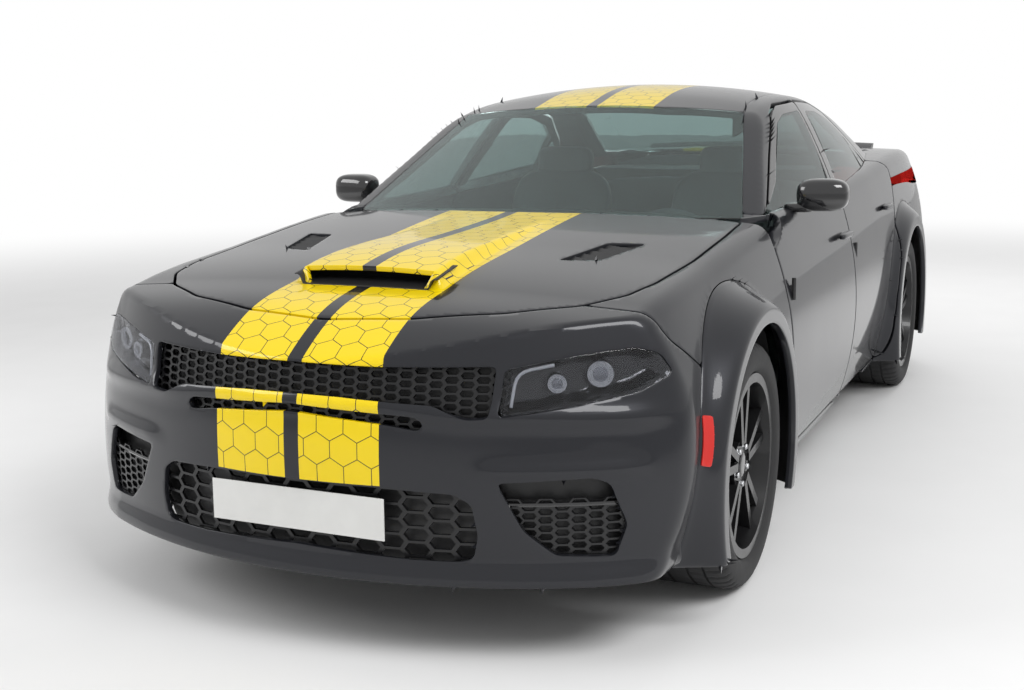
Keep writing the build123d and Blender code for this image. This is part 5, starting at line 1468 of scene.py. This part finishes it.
class CarLook(bpy.types.PropertyGroup):
    """Sizes and colours that a user would change."""

    body_colour: bpy.props.FloatVectorProperty(
        name="Body paint", description="Colour of the metallic paint", subtype="COLOR", size=3,
        default=(0.020, 0.021, 0.026), min=0, max=1)
    stripe_colour: bpy.props.FloatVectorProperty(
        name="Stripes", description="Colour of the twin stripes", subtype="COLOR", size=3,
        default=(0.90, 0.66, 0.001), min=0, max=1)
    glass_tint: bpy.props.FloatVectorProperty(
        name="Glass tint", description="Tint of the windscreen", subtype="COLOR", size=3,
        default=(0.62, 0.80, 0.78), min=0, max=1)
    stripe_half: bpy.props.FloatProperty(
        name="Stripe reach", description="From the centre line to a stripe's outer edge", default=0.245,
        unit="LENGTH")
    stripe_gap: bpy.props.FloatProperty(
        name="Stripe gap", description="From the centre line to a stripe's inner edge", default=0.022,
        unit="LENGTH")
    hexagon: bpy.props.FloatProperty(
        name="Hexagon", description="Size across a hexagon of the stripes' net", default=0.075, unit="LENGTH")
    hexagon_line: bpy.props.FloatProperty(
        name="Hexagon line", description="Width of the net's lines", default=0.0022, unit="LENGTH")
    stripe_low: bpy.props.FloatProperty(
        name="Stripe end", description="Height at which the stripes end on the nose", default=0.470,
        unit="LENGTH")
    mirrored_level: bpy.props.FloatProperty(
        name="Mirrored light", description="How bright the studio is in reflections", default=0.30, min=0,
        max=1)
    studio_level: bpy.props.FloatProperty(
        name="Studio level", description="Strength of the soft light from all round", default=0.55, min=0,
        max=2)


class MUSCLECAR_OT_stage(bpy.types.Operator):
    """Make the studio, its lamps and the camera"""

    bl_idname = "muscle_car.stage"
    bl_label = "Stage"

    def execute(self, context):
        make_stage()
        return {"FINISHED"}


class MUSCLECAR_OT_finishes(bpy.types.Operator):
    """Make the materials and give each node of the construction its own"""

    bl_idname = "muscle_car.finishes"
    bl_label = "Finishes"

    def execute(self, context):
        make_finishes()
        dress_nodes()
        return {"FINISHED"}


class MUSCLECAR_OT_bonnet(bpy.types.Operator):
    """Make the bonnet with its scoop and vents"""

    bl_idname = "muscle_car.bonnet"
    bl_label = "Bonnet"

    def execute(self, context):
        make_bonnet()
        return {"FINISHED"}


class MUSCLECAR_OT_front(bpy.types.Operator):
    """Make the front bumper, wings and front flares"""

    bl_idname = "muscle_car.front"
    bl_label = "Front"

    def execute(self, context):
        make_front()
        return {"FINISHED"}


class MUSCLECAR_OT_doors(bpy.types.Operator):
    """Make the four door skins and their window frames"""

    bl_idname = "muscle_car.doors"
    bl_label = "Doors"

    def execute(self, context):
        make_doors()
        return {"FINISHED"}


class MUSCLECAR_OT_sides(bpy.types.Operator):
    """Make the sills, quarters and pillars"""

    bl_idname = "muscle_car.sides"
    bl_label = "Sides"

    def execute(self, context):
        make_sides()
        return {"FINISHED"}


class MUSCLECAR_OT_roof(bpy.types.Operator):
    """Make the roof skin"""

    bl_idname = "muscle_car.roof"
    bl_label = "Roof"

    def execute(self, context):
        make_roof()
        return {"FINISHED"}


class MUSCLECAR_OT_tail(bpy.types.Operator):
    """Make the boot lid and the rear bumper"""

    bl_idname = "muscle_car.tail"
    bl_label = "Tail"

    def execute(self, context):
        make_tail()
        return {"FINISHED"}


class MUSCLECAR_OT_grilles(bpy.types.Operator):
    """Make the nets of hexagons and their linings"""

    bl_idname = "muscle_car.grilles"
    bl_label = "Grilles"

    def execute(self, context):
        make_grilles()
        return {"FINISHED"}


class MUSCLECAR_OT_headlamps(bpy.types.Operator):
    """Make the headlamps' covers, housings and lamps"""

    bl_idname = "muscle_car.headlamps"
    bl_label = "Headlamps"

    def execute(self, context):
        make_headlamps()
        return {"FINISHED"}


class MUSCLECAR_OT_wheels(bpy.types.Operator):
    """Make the tyres, brake discs, caps and nuts"""

    bl_idname = "muscle_car.wheels"
    bl_label = "Wheels"

    def execute(self, context):
        make_wheels()
        return {"FINISHED"}


class MUSCLECAR_OT_mirrors(bpy.types.Operator):
    """Make the door mirrors"""

    bl_idname = "muscle_car.mirrors"
    bl_label = "Mirrors"

    def execute(self, context):
        make_mirrors()
        return {"FINISHED"}


class MUSCLECAR_OT_handles(bpy.types.Operator):
    """Make the door handles"""

    bl_idname = "muscle_car.handles"
    bl_label = "Handles"

    def execute(self, context):
        make_handles()
        return {"FINISHED"}


class MUSCLECAR_OT_screen_trim(bpy.types.Operator):
    """Make the windscreen's border and wipers"""

    bl_idname = "muscle_car.screen_trim"
    bl_label = "Screen Trim"

    def execute(self, context):
        make_screen_trim()
        return {"FINISHED"}


class MUSCLECAR_OT_markers(bpy.types.Operator):
    """Make the red side markers"""

    bl_idname = "muscle_car.markers"
    bl_label = "Side Markers"

    def execute(self, context):
        make_markers()
        return {"FINISHED"}


class MUSCLECAR_OT_lip(bpy.types.Operator):
    """Make the lip of the boot lid"""

    bl_idname = "muscle_car.lip"
    bl_label = "Boot Lip"

    def execute(self, context):
        make_lip()
        return {"FINISHED"}


class MUSCLECAR_OT_seats(bpy.types.Operator):
    """Make the front seats and the rear bench"""

    bl_idname = "muscle_car.seats"
    bl_label = "Seats"

    def execute(self, context):
        make_seats()
        return {"FINISHED"}


OPERATORS = [MUSCLECAR_OT_stage, MUSCLECAR_OT_finishes, MUSCLECAR_OT_bonnet, MUSCLECAR_OT_front,
             MUSCLECAR_OT_doors, MUSCLECAR_OT_sides, MUSCLECAR_OT_roof, MUSCLECAR_OT_tail,
             MUSCLECAR_OT_grilles, MUSCLECAR_OT_headlamps, MUSCLECAR_OT_wheels, MUSCLECAR_OT_mirrors,
             MUSCLECAR_OT_handles, MUSCLECAR_OT_screen_trim, MUSCLECAR_OT_markers, MUSCLECAR_OT_lip,
             MUSCLECAR_OT_seats]


class MUSCLECAR_PT_parts(bpy.types.Panel):
    """Lists the car's sizes and colours and the groups to make"""

    bl_label = "Muscle Car"
    bl_idname = "MUSCLECAR_PT_parts"
    bl_space_type = "VIEW_3D"
    bl_region_type = "UI"
    bl_category = "Muscle Car"

    def draw(self, context):
        for field in CarLook.__annotations__:
            self.layout.prop(context.scene.muscle_car, field)
        for item in OPERATORS:
            self.layout.operator(item.bl_idname)


def register():
    """Adds the sizes and colours, the operators and the panel."""
    bpy.utils.register_class(CarLook)
    bpy.types.Scene.muscle_car = bpy.props.PointerProperty(type=CarLook)
    for item in (*OPERATORS, MUSCLECAR_PT_parts):
        bpy.utils.register_class(item)


def unregister():
    """Takes them away again."""
    for item in reversed((*OPERATORS, MUSCLECAR_PT_parts)):
        bpy.utils.unregister_class(item)
    del bpy.types.Scene.muscle_car
    bpy.utils.unregister_class(CarLook)


def main():
    """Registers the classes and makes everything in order."""
    register()
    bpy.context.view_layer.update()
    for item in OPERATORS:
        group, name = item.bl_idname.split(".")
        getattr(getattr(bpy.ops, group), name)()


if __name__ == "__main__":
    main()
